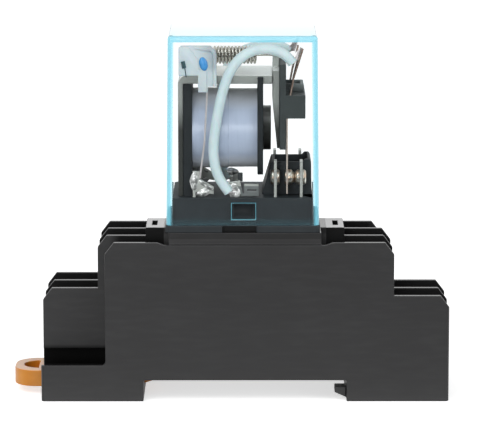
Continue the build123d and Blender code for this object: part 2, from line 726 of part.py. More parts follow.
def coil_bobbin():
    """The black bobbin: a tube with a flange at each end."""
    left0, left1 = LEFT_FLANGE
    right0, right1 = RIGHT_FLANGE
    low = COIL_Z - WINDING_R - 0.6
    under_yoke = YOKE_TOP - YOKE_T
    wide = WINDING_R + 1.0
    left = box(left0, left1, -WINDING_R - 0.3, WINDING_R + 0.3, BASE_TOP, under_yoke)
    right = box(right0, right1, -wide, wide, low, YOKE_TOP - 0.2)
    right = fillet(right.edges().filter_by(Axis.X).sort_by(Axis.Z)[:2], 2.5)
    gap = YOKE_HALF_Y + COVER_GAP
    right -= box(right0 - 1, right1 + 1, -gap, gap, under_yoke, YOKE_TOP + 1)
    tube = rod_x(TUBE_R, left0, right1, 0, COIL_Z)
    bore = rod_x(CORE_R + COVER_GAP / 2, left0 - 1, right1 + 1, 0, COIL_Z)
    return in_relay(left + right + tube - bore)


def coil_winding():
    """The wire, wrapped in tape whose outer turn ends part of the way along."""
    left = LEFT_FLANGE[1]
    body = rod_x(WINDING_R, left, RIGHT_FLANGE[0], 0, COIL_Z)
    body += rod_x(WINDING_R + TAPE_T, left, TAPE_EDGE_X, 0, COIL_Z)
    return in_relay(body - rod_x(TUBE_R, left - 1, RIGHT_FLANGE[0] + 1, 0, COIL_Z))


def iron_core():
    """The soft iron core, riveted into the yoke, with its pole disc."""
    left = LEFT_FLANGE[0] - YOKE_LEG_T
    pole = RIGHT_FLANGE[1] + POLE_T
    body = rod_x(CORE_R, LEFT_FLANGE[0], RIGHT_FLANGE[1], 0, COIL_Z)
    body += rod_x(CORE_R * 0.7, left, LEFT_FLANGE[0], 0, COIL_Z)
    return in_relay(body + rod_x(POLE_R, RIGHT_FLANGE[1], pole, 0, COIL_Z))


def yoke():
    """The bent steel frame: a leg at the left and the top plate that the armature rocks on."""
    left = LEFT_FLANGE[0] - YOKE_LEG_T
    right = LEFT_FLANGE[0]
    under = YOKE_TOP - YOKE_T
    half = YOKE_HALF_Y
    body = plate([(left, BASE_TOP), (right, BASE_TOP), (right, under), (YOKE_END, under),
                  (YOKE_END, YOKE_TOP), (left, YOKE_TOP)], -half, half)
    bend = body.edges().filter_by(Axis.Y).sort_by(Axis.Z)[-2:].sort_by(Axis.X)[0]
    body = fillet(bend, YOKE_BEND)
    body -= rod_x(CORE_R * 0.7, left - 1, right + 1, 0, COIL_Z)
    tab = box(TAB_X - TAB_T, TAB_X, -POST_HALF_Y, POST_HALF_Y, YOKE_TOP - 0.5, TAB_TOP)
    eye = rod_x(SPRING_WIRE, TAB_X - 2, TAB_X + 1, 0, SPRING_Z)
    return in_relay(body + tab - eye)


def armature_plate():
    """The steel plate that the coil pulls in, with a post for the return spring."""
    near = YOKE_END + ARMATURE_GAP
    far = near + ARMATURE_T
    body = plate([(near, CARRIER_TOP - 1.2), (near, ARMATURE_KNEE), (far - ARMATURE_TOE_T, CARRIER_LOW),
                  (far, CARRIER_LOW), (far, CARRIER_TOP - 1.2)], -ARMATURE_HALF_Y, ARMATURE_HALF_Y)
    body += box(near, far, -POST_HALF_Y, POST_HALF_Y, CARRIER_TOP - 2, POST_TOP)
    return in_relay(body - rod_x(SPRING_WIRE, near - 1, far + 1, 0, SPRING_Z))


def leaf(grow=0.0):
    """A moving contact spring's outline in X and Z, thickened."""
    top_x, top_z = LEAF_TOP
    bend_x, bend_z = LEAF_BEND
    half = LEAF_T / 2 + grow
    low = LEAF_TIP - grow
    knee = BLOCK_LOW + 1.0
    right = [(LEAF_X + half, low), (LEAF_X + half, knee), (bend_x + half, bend_z), (top_x + half, top_z + grow)]
    return right + [(x - 2 * half, z) for x, z in reversed(right)]


def contact_carrier():
    """The black moulding on the armature that holds both contact springs."""
    near = YOKE_END + ARMATURE_GAP + ARMATURE_T
    far = near + CARRIER_T
    body = box(near, far, -CARRIER_HALF_Y, CARRIER_HALF_Y, CARRIER_LOW, CARRIER_TOP)
    body += box(far - 0.2, BLOCK_X, -CARRIER_HALF_Y, CARRIER_HALF_Y, BLOCK_LOW, BLOCK_TOP)
    body += box(far - 0.2, BLOCK_X - RIB_IN, -RIB_HALF_Y, RIB_HALF_Y, BLOCK_LOW, BLOCK_TOP + RIB_UP)
    open_y = RIB_HALF_Y - BLOCK_WALL
    body -= box(far, BLOCK_X - RIB_IN - BLOCK_WALL, -open_y, open_y, BLOCK_LOW + BLOCK_WALL,
                BLOCK_TOP + RIB_UP + 1)
    for row in (-1, 1):
        y0, y1 = sorted((row * (ROW_Y - BLADE_W / 2), row * (ROW_Y + BLADE_W / 2)))
        body -= plate(leaf(0.02), y0 - 0.02, y1 + 0.02)
    return in_relay(body)


def moving_spring(row):
    """A copper-alloy leaf that swings between two fixed contacts."""
    y0, y1 = sorted((row * (ROW_Y - BLADE_W / 2), row * (ROW_Y + BLADE_W / 2)))
    body = plate(leaf(), y0, y1)
    return in_relay(body - rod_x(RIVET_R * 0.5, LEAF_X - 1, LEAF_X + 1, row * ROW_Y, RIVET_Z))


def moving_contacts():
    """The rivets of both moving springs, with a contact face on each side."""
    pair = []
    half = LEAF_T / 2
    for y in (-ROW_Y, ROW_Y):
        low = rivet_head(MOVING_LOW_FACE, LEAF_X - half, y, -1)
        high = rivet_head(LEAF_X + half, MOVING_HIGH_FACE, y, 1)
        stem = rod_x(RIVET_R * 0.5, LEAF_X - half - 0.05, LEAF_X + half + 0.05, y, RIVET_Z)
        pair.append(low + high + stem)
    return in_relay(pair[0] + pair[1])


def return_spring():
    """The tension spring between the yoke's tab and the armature's post."""
    radius = (SPRING_OD - SPRING_WIRE) / 2
    length = SPRING_PITCH * SPRING_TURNS
    path = Helix(pitch=SPRING_PITCH, height=length, radius=radius)
    section = Plane(origin=path @ 0, z_dir=path % 0) * RegularPolygon(SPRING_WIRE / 2, 6)
    coil = sweep(section, path=path, is_frenet=True)
    coil = Pos(SPRING_X, 0, SPRING_Z) * Rot(0, 90, 0) * coil
    end = SPRING_X + length
    near = YOKE_END + ARMATURE_GAP
    wire = SPRING_WIRE / 2
    hooks = rod_x(wire, TAB_X + 0.05, SPRING_X + wire, 0, SPRING_Z)
    hooks += rod_x(wire, end - wire, near - 0.05, 0, SPRING_Z)
    for x in (SPRING_X + wire, end - wire):
        hooks += rod_z(wire, x, 0, SPRING_Z - radius, SPRING_Z)
    return in_relay(coil + hooks)


def pigtail(row):
    """The insulated lead from the common terminal up to the moving spring."""
    y = row * WIRE_Y
    down = BACK_LEAD_DOWN if row > 0 else 0
    route = [(LEAF_X + 0.55, YOKE_TOP + 2.45), (LEAF_X - 0.7, YOKE_TOP + 4.05 - down * 0.5),
             (LEAF_X - 3.5, YOKE_TOP + 4.95 - down), (LEAF_X - 7.0, YOKE_TOP + 4.3 - down),
             (COM_X + 0.05, YOKE_TOP + 1.6), (COM_X - 1.45, YOKE_TOP - 2.2),
             (COM_X - 2.6, COIL_Z + 2.4), (COM_X - 3.3, COIL_Z - 2.8),
             (COM_X - 2.7, BASE_TOP + 4.35), (COM_X - 0.85, BASE_TOP + 1.3)]
    points = [(x, y, z) for x, z in route]
    radii = []
    for before, at, after in zip(route, route[1:], route[2:]):
        a = Vector(at[0] - before[0], at[1] - before[1])
        b = Vector(after[0] - at[0], after[1] - at[1])
        half_turn = radians(a.get_angle(b)) / 2
        radii.append(0.45 * min(a.length, b.length) / tan(half_turn))
    path = FilletPolyline(*points, radius=radii)
    body = sweep(Plane(origin=path @ 0, z_dir=path % 0) * Circle(WIRE_R), path=path)
    lug_y = row * (ROW_Y + BLADE_W / 2 + STRAND_R + STRAND_GAP)
    leaf_y = row * (ROW_Y + BLADE_W / 2 - STRAND_R)
    ends = ((path @ 0, Vector(LEAF_X + 1.35, leaf_y, YOKE_TOP + 2.6)),
            (path @ 1, Vector(COM_X + 0.6, lug_y, BASE_TOP + 1.0)))
    for start, end in ends:
        strands = Plane(origin=start, z_dir=end - start) * Circle(STRAND_R)
        body += extrude(strands, amount=(end - start).length)
    return in_relay(body)


def led_holder():
    """The milky holder that clips the lamp to the yoke's end."""
    left = YOKE_OUT + 0.15
    right = YOKE_OUT + 6.8
    y0, y1 = HOLDER_Y
    head = box(left, right, y0, y1, YOKE_TOP + 0.1, YOKE_TOP + 5.4)
    head = fillet(head.edges().filter_by(Axis.Y).sort_by(Axis.Z)[-2:].sort_by(Axis.X)[-1], 1.0)
    body = head + box(right - 3.25, right, y0, y1, YOKE_TOP - 1.8, YOKE_TOP + 0.1)
    body += box(right - 3.25, right - 1.45, y0, y1, YOKE_TOP - 2.8, YOKE_TOP - 1.8)
    half = LAMP_W / 2 + COVER_GAP / 2
    tall = LAMP_H / 2 + COVER_GAP / 2
    seat = box(LAMP_X - half, LAMP_X + half, y0 - 1, y0 + LAMP_DEEP + COVER_GAP, LAMP_Z - tall,
               LAMP_Z + tall)
    return in_relay(body - seat)


def led_lamp():
    """The blue lamp, a small upright bullet in a pocket of the holder."""
    outline = RectangleRounded(LAMP_W, LAMP_DEEP, LAMP_DEEP * 0.45)
    y = HOLDER_Y[0] + COVER_GAP / 2 + LAMP_DEEP / 2
    lamp = extrude(Pos(LAMP_X, y, LAMP_Z - LAMP_H / 2) * outline, amount=LAMP_H)
    return in_relay(fillet(lamp.faces().sort_by(Axis.Z)[-1].edges(), LAMP_DEEP * 0.35))


def led_lead():
    """The lamp's thin lead down to the coil terminal's lug."""
    low_y = -(ROW_Y + BLADE_W / 2) - LEAD_R - 0.02
    path = Polyline((LAMP_X + 0.5, low_y, YOKE_TOP - 2.85), (LAMP_X, low_y, COIL_Z - 1.5),
                    (LAMP_X - 0.8, low_y, BASE_TOP + 3.45))
    tube = sweep(Plane(origin=path @ 0, z_dir=path % 0) * Circle(LEAD_R), path=path,
                 transition=Transition.ROUND)
    return in_relay(tube)


def series_resistor():
    """The lamp's resistor, at the back beside the yoke's top."""
    body = rod_x(RESISTOR_R, RESISTOR_X - RESISTOR_L / 2, RESISTOR_X + RESISTOR_L / 2,
                 RESISTOR_Y, RESISTOR_Z)
    return in_relay(chamfer(body.edges().filter_by(GeomType.CIRCLE), RESISTOR_R * 0.3))


def pieces():
    """Every piece by its node's name."""
    made = {"socket_housing": socket_housing(), "bottom_cover": bottom_cover()}
    for side, tier, bay in TERMINALS:
        name = ("left" if side < 0 else "right") + "_" + tier + "_" + ("middle", "outer")[bay]
        made["terminal_" + name] = terminal(side, tier, bay)
        made["screw_" + name] = terminal_screw(side, tier, bay)
        made["washer_" + name] = terminal_washer(side, tier, bay)
    made["din_clip"] = din_clip()
    made["relay_cover"] = relay_cover()
    made["relay_base"] = relay_base()
    for row, place in ((-1, "front"), (1, "back")):
        made["coil_terminal_" + place] = coil_terminal(row)
        made["com_terminal_" + place] = com_terminal(row)
        made["no_strip_" + place] = fixed_strip(NO_X, row)
        made["nc_strip_" + place] = fixed_strip(NC_X, row)
        made["moving_spring_" + place] = moving_spring(row)
        made["pigtail_" + place] = pigtail(row)
    made["no_contacts"] = fixed_contacts(NO_X, NO_FACE)
    made["nc_contacts"] = fixed_contacts(NC_X, NC_FACE)
    made["moving_contacts"] = moving_contacts()
    made["coil_bobbin"] = coil_bobbin()
    made["coil_winding"] = coil_winding()
    made["iron_core"] = iron_core()
    made["yoke"] = yoke()
    made["armature_plate"] = armature_plate()
    made["contact_carrier"] = contact_carrier()
    made["return_spring"] = return_spring()
    made["led_holder"] = led_holder()
    made["led_lamp"] = led_lamp()
    made["led_lead"] = led_lead()
    made["series_resistor"] = series_resistor()
    return made


os.makedirs("parts", exist_ok=True)
for node, shape in pieces().items():
    export_step(one(shape), "parts/" + node + ".step")
    print(node, len(shape.solids()), round(sum(s.volume for s in shape.solids()), 2))
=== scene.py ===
"""A plug-in relay in its screw socket, dressed over its solids: sections follow the order of assembly."""
import bmesh
import bpy
from math import cos, pi, radians, sin
from mathutils import Matrix, Vector, noise


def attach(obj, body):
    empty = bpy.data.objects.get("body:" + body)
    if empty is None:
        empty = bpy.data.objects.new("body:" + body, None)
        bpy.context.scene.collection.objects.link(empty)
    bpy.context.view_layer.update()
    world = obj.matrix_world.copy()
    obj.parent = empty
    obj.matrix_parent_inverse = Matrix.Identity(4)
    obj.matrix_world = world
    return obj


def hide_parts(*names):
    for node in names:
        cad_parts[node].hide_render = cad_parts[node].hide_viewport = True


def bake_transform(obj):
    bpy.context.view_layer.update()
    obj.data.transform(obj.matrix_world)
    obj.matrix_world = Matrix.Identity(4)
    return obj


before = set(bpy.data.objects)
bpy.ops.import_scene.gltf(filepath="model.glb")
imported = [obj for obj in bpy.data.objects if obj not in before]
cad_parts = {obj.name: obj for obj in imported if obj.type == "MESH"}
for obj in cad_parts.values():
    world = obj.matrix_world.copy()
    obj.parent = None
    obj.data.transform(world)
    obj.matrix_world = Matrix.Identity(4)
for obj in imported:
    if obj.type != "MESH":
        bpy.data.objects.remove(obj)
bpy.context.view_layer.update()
MM = 0.001

# Camera
# A long lens set a little above the socket, looking down at it by ten degrees.
camera_data = bpy.data.cameras.new("camera")
camera_data.lens = 223.7
camera_data.sensor_width = 36
camera = bpy.data.objects.new("camera", camera_data)
bpy.context.scene.collection.objects.link(camera)
camera.location = (-0.00019, -0.54716, 0.12242)
camera.rotation_euler = (radians(90 - 9.796), 0, radians(-0.114))
camera_data.clip_start = 0.01
bpy.context.scene.camera = camera
bpy.context.scene.view_settings.view_transform = "Standard"

# Floor and lamps
# A pale studio table under a wide white surround, with two soft boxes in front and above.


def linear(code):
    """The linear colour of an sRGB hex code."""
    values = [int(code[i:i + 2], 16) / 255 for i in (1, 3, 5)]
    return [v / 12.92 if v <= 0.04045 else ((v + 0.055) / 1.055) ** 2.4 for v in values] + [1.0]


def add(tree, kind, inputs=None, **settings):
    """A node with its settings; an input given as a socket is linked, any other is set."""
    node = tree.nodes.new(kind)
    for name, value in settings.items():
        setattr(node, name, value)
    for name, value in (inputs or {}).items():
        if isinstance(value, bpy.types.NodeSocket):
            tree.links.new(value, node.inputs[name])
        else:
            node.inputs[name].default_value = value
    return node


def start_material(name):
    """An empty material, and its node tree."""
    material = bpy.data.materials.new(name)
    material.use_nodes = True
    material.node_tree.nodes.clear()
    return material, material.node_tree


def place(name, bm, smooth_under=None):
    """A finished mesh as an object at the origin."""
    mesh = bpy.data.meshes.new(name)
    bm.to_mesh(mesh)
    bm.free()
    piece = bpy.data.objects.new(name, mesh)
    bpy.context.scene.collection.objects.link(piece)
    if smooth_under is not None:
        mesh.shade_smooth()
        mesh.set_sharp_from_angle(angle=radians(smooth_under))
    return piece


FLOOR_Z = -3.8 * MM
table = bmesh.new()
bmesh.ops.create_grid(table, x_segments=1, y_segments=1, size=6,
                      matrix=Matrix.Translation((0, 0, FLOOR_Z)))
floor = place("table_top", table)

# Matt white laminate. It scatters the lamps evenly and keeps a soft shadow under the feet.
# Mirrors find it dim on the camera's side, as the room behind the camera is.
table_white, tree = start_material("white_laminate_table")
rays = add(tree, "ShaderNodeLightPath")
spot = add(tree, "ShaderNodeSeparateXYZ", {0: add(tree, "ShaderNodeTexCoord").outputs["Object"]})
nearer = add(tree, "ShaderNodeMapRange", {"Value": spot.outputs["Y"], "From Min": 0.0, "From Max": -0.06})
dim = add(tree, "ShaderNodeMath", {0: rays.outputs["Is Glossy Ray"], 1: nearer.outputs[0]},
          operation="MULTIPLY")
seen = add(tree, "ShaderNodeMath", {0: rays.outputs["Is Camera Ray"], 1: rays.outputs["Is Glossy Ray"]},
           operation="MAXIMUM")
seen = add(tree, "ShaderNodeMath", {0: seen.outputs[0], 1: rays.outputs["Is Transmission Ray"]},
           operation="MAXIMUM")
lit = add(tree, "ShaderNodeMath", {0: seen.outputs[0], 1: dim.outputs[0]}, operation="SUBTRACT")
lift = add(tree, "ShaderNodeMath", {0: lit.outputs[0], 1: 0.62}, operation="MULTIPLY")
paint = add(tree, "ShaderNodeMix", {"Factor": dim.outputs[0], "A": linear("#F4F4F4"), "B": linear("#303030")},
            data_type="RGBA")
scatter = add(tree, "ShaderNodeBsdfDiffuse", {"Color": paint.outputs[2]})
glow = add(tree, "ShaderNodeEmission", {"Color": (1, 1, 1, 1), "Strength": lift.outputs[0]})
both = add(tree, "ShaderNodeAddShader", {0: scatter.outputs[0], 1: glow.outputs[0]})
add(tree, "ShaderNodeOutputMaterial", {"Surface": both.outputs[0]})
floor.data.materials.append(table_white)

# The surround is white as the camera sees it, through clear parts too. In mirrors it is white
# behind and above the object and dim on the camera's side.
world = bpy.data.worlds.new("white_surround")
bpy.context.scene.world = world
world.use_nodes = True
tree = world.node_tree
tree.nodes.clear()
rays = add(tree, "ShaderNodeLightPath")
heading = add(tree, "ShaderNodeSeparateXYZ", {0: add(tree, "ShaderNodeTexCoord").outputs["Generated"]})
behind = add(tree, "ShaderNodeMapRange", {"Value": heading.outputs["Y"], "From Min": -0.3, "From Max": 0.2,
                                          "To Min": 0.06})
above = add(tree, "ShaderNodeMapRange", {"Value": heading.outputs["Z"], "From Min": 0.45, "From Max": 0.9,
                                         "To Min": 0.06})
room = add(tree, "ShaderNodeMath", {0: behind.outputs[0], 1: above.outputs[0]}, operation="MAXIMUM")
level = add(tree, "ShaderNodeMix", {"Factor": rays.outputs["Is Glossy Ray"], "A": 0.45, "B": room.outputs[0]})
direct = add(tree, "ShaderNodeMath", {0: rays.outputs["Is Camera Ray"],
                                      1: rays.outputs["Is Transmission Ray"]}, operation="MAXIMUM")
level = add(tree, "ShaderNodeMix", {"Factor": direct.outputs[0], "A": level.outputs[0], "B": 1.0})
sky = add(tree, "ShaderNodeBackground", {"Color": (1, 1, 1, 1), "Strength": level.outputs[0]})
add(tree, "ShaderNodeOutputWorld", {"Surface": sky.outputs[0]})

for name, spot, aim, size, power in (
        ("key_box", (-0.45, -0.55, 0.75), (0, 0, 0.02), 0.6, 3.5),
        ("fill_box", (0.6, -0.5, 0.35), (0, 0, 0.02), 0.5, 2.0),
        ("front_box", (-0.15, -0.9, 0.1), (0, 0, 0.03), 0.4, 2.1)):
    light = bpy.data.lights.new(name, "AREA")
    light.size = size
    light.energy = power
    lamp = bpy.data.objects.new(name, light)
    lamp.location = spot
    lamp.rotation_euler = (Vector(aim) - Vector(spot)).to_track_quat("-Z", "Y").to_euler()
    bpy.context.scene.collection.objects.link(lamp)


# Socket housing
# A black moulding with two tiers of screw bays at each end and a seat for the relay between.
# It is one shot of flame-retardant ABS; its walls are 1 mm thick and its edges barely broken.


def eased(node, name, edge, segments=2, over=30):
    """A new piece in the shape of a solid, with every sharp edge broken by a small radius."""
    bm = bmesh.new()
    bm.from_mesh(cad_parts[node].data)
    bmesh.ops.remove_doubles(bm, verts=bm.verts, dist=0.0005 * MM)
    bmesh.ops.dissolve_limit(bm, angle_limit=radians(0.5), verts=bm.verts, edges=bm.edges)
    sharp = [e for e in bm.edges if e.is_manifold and e.calc_face_angle() > radians(over)]
    bmesh.ops.bevel(bm, geom=sharp, offset=edge, offset_type="OFFSET", affect="EDGES",
                    segments=segments, profile=0.5, material=-1, clamp_overlap=False)
    bmesh.ops.recalc_face_normals(bm, faces=bm.faces)
    piece = place(name, bm, 60)
    weighted = piece.modifiers.new("even_normals", "WEIGHTED_NORMAL")
    weighted.keep_sharp = True
    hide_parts(node)
    return piece


def dress(piece, material, body=None):
    """Gives a piece its material and, if it is new, its body."""
    piece.data.materials.clear()
    piece.data.materials.append(material)
    if body:
        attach(piece, body)


def compare(tree, value, limit, kind="GREATER_THAN"):
    """One where a value passes its limit and nought elsewhere."""
    return add(tree, "ShaderNodeMath", {0: value, 1: limit}, operation=kind).outputs[0]


# Moulded ABS, satin from a fine spark-eroded tool, with faint rubbing marks along its length. Its upward
# faces were polished. Painted shade: the undercut over each foot, the inner walls of the screw bays and
# ears and the seat's upright faces are drawn near black, and the walls darken towards the foot.
# The ears' tops are painted pale, a painted reflection of the white surround.
SCUFF_LONG = 5.0
SCUFF_WIDE = 0.9
SPARK_GRAIN = 0.12
UNDERCUT_X = 24.75
UNDERCUT_Y = (3.4, 10.4)
UNDERCUT_Z = (1.0, 4.1, 5.0)
BAY_X = 17.7
BAY_Y = 11.2
EAR_X = (14.4, 18.8)
EAR_Z = 20.0
SEAT_Z = 25.2
OPEN_X = 23.2
FOOT_SHADE = 0.72
socket_black, tree = start_material("moulded_abs_socket")
spot = add(tree, "ShaderNodeTexCoord").outputs["Object"]
along = add(tree, "ShaderNodeMapping", {"Vector": spot, "Rotation": (0, radians(8), 0),
                                        "Scale": (1 / (SCUFF_LONG * MM), 1 / (SCUFF_WIDE * MM),
                                                  1 / (SCUFF_WIDE * MM))})
scuff = add(tree, "ShaderNodeTexNoise", {"Vector": along.outputs[0], "Scale": 1.0, "Detail": 3.0})
cloud = add(tree, "ShaderNodeTexNoise", {"Vector": spot, "Scale": 1 / (14 * MM), "Detail": 2.0})
grain = add(tree, "ShaderNodeTexNoise", {"Vector": spot, "Scale": 1 / (SPARK_GRAIN * MM), "Detail": 1.0})
mark = add(tree, "ShaderNodeMapRange", {"Value": scuff.outputs[0], "From Min": 0.45, "From Max": 0.85})
tone = add(tree, "ShaderNodeMix", {"Factor": mark.outputs[0], "A": linear("#2A2A2B"),
                                   "B": linear("#333334")}, data_type="RGBA")
shade = add(tree, "ShaderNodeMix", {"Factor": cloud.outputs[0], "A": linear("#D8D8D8"),
                                    "B": linear("#FFFFFF")}, data_type="RGBA")
across = add(tree, "ShaderNodeSeparateXYZ", {0: spot})
# Painted shade: the colour darkens towards the foot of the walls.
foot = add(tree, "ShaderNodeMapRange", {"Value": across.outputs["Z"], "To Min": FOOT_SHADE,
                                        "From Max": 9 * MM})
shade = add(tree, "ShaderNodeMix", {"Factor": foot.outputs[0], "A": linear("#000000"),
                                    "B": shade.outputs[2]}, data_type="RGBA")
colour = add(tree, "ShaderNodeMix", {"Factor": 1.0, "A": tone.outputs[2], "B": shade.outputs[2]},
             data_type="RGBA", blend_type="MULTIPLY")
side = add(tree, "ShaderNodeMath", {0: across.outputs["X"]}, operation="SIGN")
turned = [add(tree, "ShaderNodeMath", {0: across.outputs[axis], 1: side.outputs[0]}, operation="MULTIPLY")
          for axis in "XY"]
# Painted shade: the undercut over each foot is drawn near black.
painted_shade = add(tree, "ShaderNodeMapRange", {"Value": across.outputs["Z"], "From Min": UNDERCUT_Z[2] * MM,
                                          "From Max": UNDERCUT_Z[1] * MM}).outputs[0]
for value, limit, kind in ((across.outputs["Z"], UNDERCUT_Z[0], "GREATER_THAN"),
                           (turned[0].outputs[0], UNDERCUT_X, "GREATER_THAN"),
                           (turned[1].outputs[0], UNDERCUT_Y[0], "GREATER_THAN"),
                           (turned[1].outputs[0], UNDERCUT_Y[1], "LESS_THAN")):
    painted_shade = add(tree, "ShaderNodeMath", {0: painted_shade, 1: compare(tree, value, limit * MM, kind)},
                 operation="MULTIPLY").outputs[0]
facing = add(tree, "ShaderNodeSeparateXYZ", {0: add(tree, "ShaderNodeNewGeometry").outputs["Normal"]})
sized = add(tree, "ShaderNodeSeparateXYZ", {0: add(tree, "ShaderNodeVectorMath", {0: spot},
                                                   operation="ABSOLUTE").outputs[0]})
level = add(tree, "ShaderNodeMath", {0: facing.outputs["Z"]}, operation="ABSOLUTE")
upright = compare(tree, level.outputs[0], 0.5, "LESS_THAN")
# Painted shade: the upright inner walls of the screw bays are drawn darker.
open_x = add(tree, "ShaderNodeMapRange", {"Value": turned[0].outputs[0], "From Min": (OPEN_X - 0.9) * MM,
                                          "From Max": (OPEN_X + 0.9) * MM}).outputs[0]
open_y = compare(tree, turned[1].outputs[0], UNDERCUT_Y[0] * MM)
corner = add(tree, "ShaderNodeMath", {0: open_x, 1: open_y}, operation="MULTIPLY")
bay = add(tree, "ShaderNodeMath", {0: upright, 1: corner.outputs[0]}, operation="SUBTRACT").outputs[0]
for value, limit, kind in ((sized.outputs["X"], BAY_X, "GREATER_THAN"), (sized.outputs["Y"], BAY_Y, "LESS_THAN")):
    bay = add(tree, "ShaderNodeMath", {0: bay, 1: compare(tree, value, limit * MM, kind)},
              operation="MULTIPLY").outputs[0]
# Painted shade: the upright walls of each ear's slot are drawn darker too.
ear = upright
for value, limit, kind in ((sized.outputs["X"], EAR_X[0], "GREATER_THAN"), (sized.outputs["X"], EAR_X[1], "LESS_THAN"),
                           (sized.outputs["Y"], BAY_Y, "LESS_THAN"), (across.outputs["Z"], EAR_Z, "GREATER_THAN")):
    ear = add(tree, "ShaderNodeMath", {0: ear, 1: compare(tree, value, limit * MM, kind)},
              operation="MULTIPLY").outputs[0]
bay = add(tree, "ShaderNodeMath", {0: bay, 1: ear}, operation="MAXIMUM")
bay = add(tree, "ShaderNodeMath", {0: bay.outputs[0], 1: 0.8}, operation="MULTIPLY")
painted_shade = add(tree, "ShaderNodeMath", {0: painted_shade, 1: bay.outputs[0]}, operation="MAXIMUM").outputs[0]
# Painted shade: the seat's upright faces just under the relay are drawn a little darker.
seat = upright
for value, limit, kind in ((sized.outputs["X"], EAR_X[0], "LESS_THAN"), (across.outputs["Z"], SEAT_Z, "GREATER_THAN")):
    seat = add(tree, "ShaderNodeMath", {0: seat, 1: compare(tree, value, limit * MM, kind)},
               operation="MULTIPLY").outputs[0]
seat = add(tree, "ShaderNodeMath", {0: seat, 1: 0.3}, operation="MULTIPLY")
painted_shade = add(tree, "ShaderNodeMath", {0: painted_shade, 1: seat.outputs[0]}, operation="MAXIMUM").outputs[0]
colour = add(tree, "ShaderNodeMix", {"Factor": painted_shade, "A": colour.outputs[2], "B": linear("#070707")},
             data_type="RGBA")
# Painted reflection: the ears' upward faces are drawn pale.
pale = compare(tree, facing.outputs["Z"], 0.9)
for value, limit, kind in ((sized.outputs["X"], EAR_X[0], "GREATER_THAN"), (sized.outputs["X"], EAR_X[1], "LESS_THAN"),
                           (across.outputs["Z"], SEAT_Z, "GREATER_THAN")):
    pale = add(tree, "ShaderNodeMath", {0: pale, 1: compare(tree, value, limit * MM, kind)},
               operation="MULTIPLY").outputs[0]
colour = add(tree, "ShaderNodeMix", {"Factor": pale, "A": colour.outputs[2], "B": linear("#BABABB")},
             data_type="RGBA")
shine = add(tree, "ShaderNodeMapRange", {"Value": painted_shade, "To Min": 0.5, "To Max": 0.05})
upward = add(tree, "ShaderNodeMapRange", {"Value": facing.outputs["Z"], "From Min": 0.7, "From Max": 0.98})
rough = add(tree, "ShaderNodeMapRange", {"Value": scuff.outputs[0], "To Min": 0.5, "To Max": 0.4})
rough = add(tree, "ShaderNodeMix", {"Factor": upward.outputs[0], "A": rough.outputs[0], "B": 0.18})
dents = add(tree, "ShaderNodeBump", {"Height": grain.outputs[0], "Strength": 0.12,
                                     "Distance": 0.02 * MM})
coat = add(tree, "ShaderNodeBsdfPrincipled", {"Base Color": colour.outputs[2], "IOR": 1.54,
                                              "Specular IOR Level": shine.outputs[0],
                                              "Roughness": rough.outputs[0],
                                              "Normal": dents.outputs[0]})
add(tree, "ShaderNodeOutputMaterial", {"Surface": coat.outputs[0]})

housing = eased("socket_housing", "socket_moulding", 0.13 * MM)
dress(housing, socket_black, "socket")
dress(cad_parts["bottom_cover"], socket_black)

# Rail clip
# The sprung catch that holds the socket on its rail, moulded in orange nylon.
# Its eye takes a screwdriver blade; its tongue slides in the left foot.
orange, tree = start_material("moulded_nylon_clip")
spot = add(tree, "ShaderNodeTexCoord").outputs["Object"]
flow = add(tree, "ShaderNodeTexNoise", {"Vector": spot, "Scale": 1 / (2.5 * MM), "Detail": 3.0})
tone = add(tree, "ShaderNodeMix", {"Factor": flow.outputs[0], "A": linear("#C07218"),
                                   "B": linear("#DC952C")}, data_type="RGBA")
# Painted highlight: faces that look up are drawn pale peach.
facing = add(tree, "ShaderNodeSeparateXYZ", {0: add(tree, "ShaderNodeNewGeometry").outputs["Normal"]})
upward = add(tree, "ShaderNodeMapRange", {"Value": facing.outputs["Z"], "From Min": 0.3, "From Max": 0.9,
                                          "To Max": 0.8})
tone = add(tree, "ShaderNodeMix", {"Factor": upward.outputs[0], "A": tone.outputs[2],
                                   "B": linear("#F2CDB0")}, data_type="RGBA")
nylon = add(tree, "ShaderNodeBsdfPrincipled", {"Base Color": tone.outputs[2], "IOR": 1.53,
                                               "Roughness": 0.38, "Subsurface Weight": 0.25,
                                               "Subsurface Radius": (0.9, 0.45, 0.15),
                                               "Subsurface Scale": 0.6 * MM})
add(tree, "ShaderNodeOutputMaterial", {"Surface": nylon.outputs[0]})
clip = eased("din_clip", "rail_clip", 0.2 * MM, 3)
dress(clip, orange, "din_clip")

# Terminal strips
# Eight stamped brass strips, nickel plated: each has a clamp plate under its screw and a fork
# under the seat that grips one blade.
nickel, tree = start_material("nickel_plated_brass")
spot = add(tree, "ShaderNodeTexCoord").outputs["Object"]
drawn = add(tree, "ShaderNodeMapping", {"Vector": spot, "Scale": (1 / (3 * MM), 1 / (0.1 * MM), 1 / (0.1 * MM))})
lines = add(tree, "ShaderNodeTexNoise", {"Vector": drawn.outputs[0], "Scale": 1.0, "Detail": 2.0})
rough = add(tree, "ShaderNodeMapRange", {"Value": lines.outputs[0], "To Min": 0.2, "To Max": 0.42})
plate = add(tree, "ShaderNodeBsdfPrincipled", {"Base Color": linear("#D2CDB9"), "Metallic": 1.0,
                                               "Roughness": rough.outputs[0]})
add(tree, "ShaderNodeOutputMaterial", {"Surface": plate.outputs[0]})

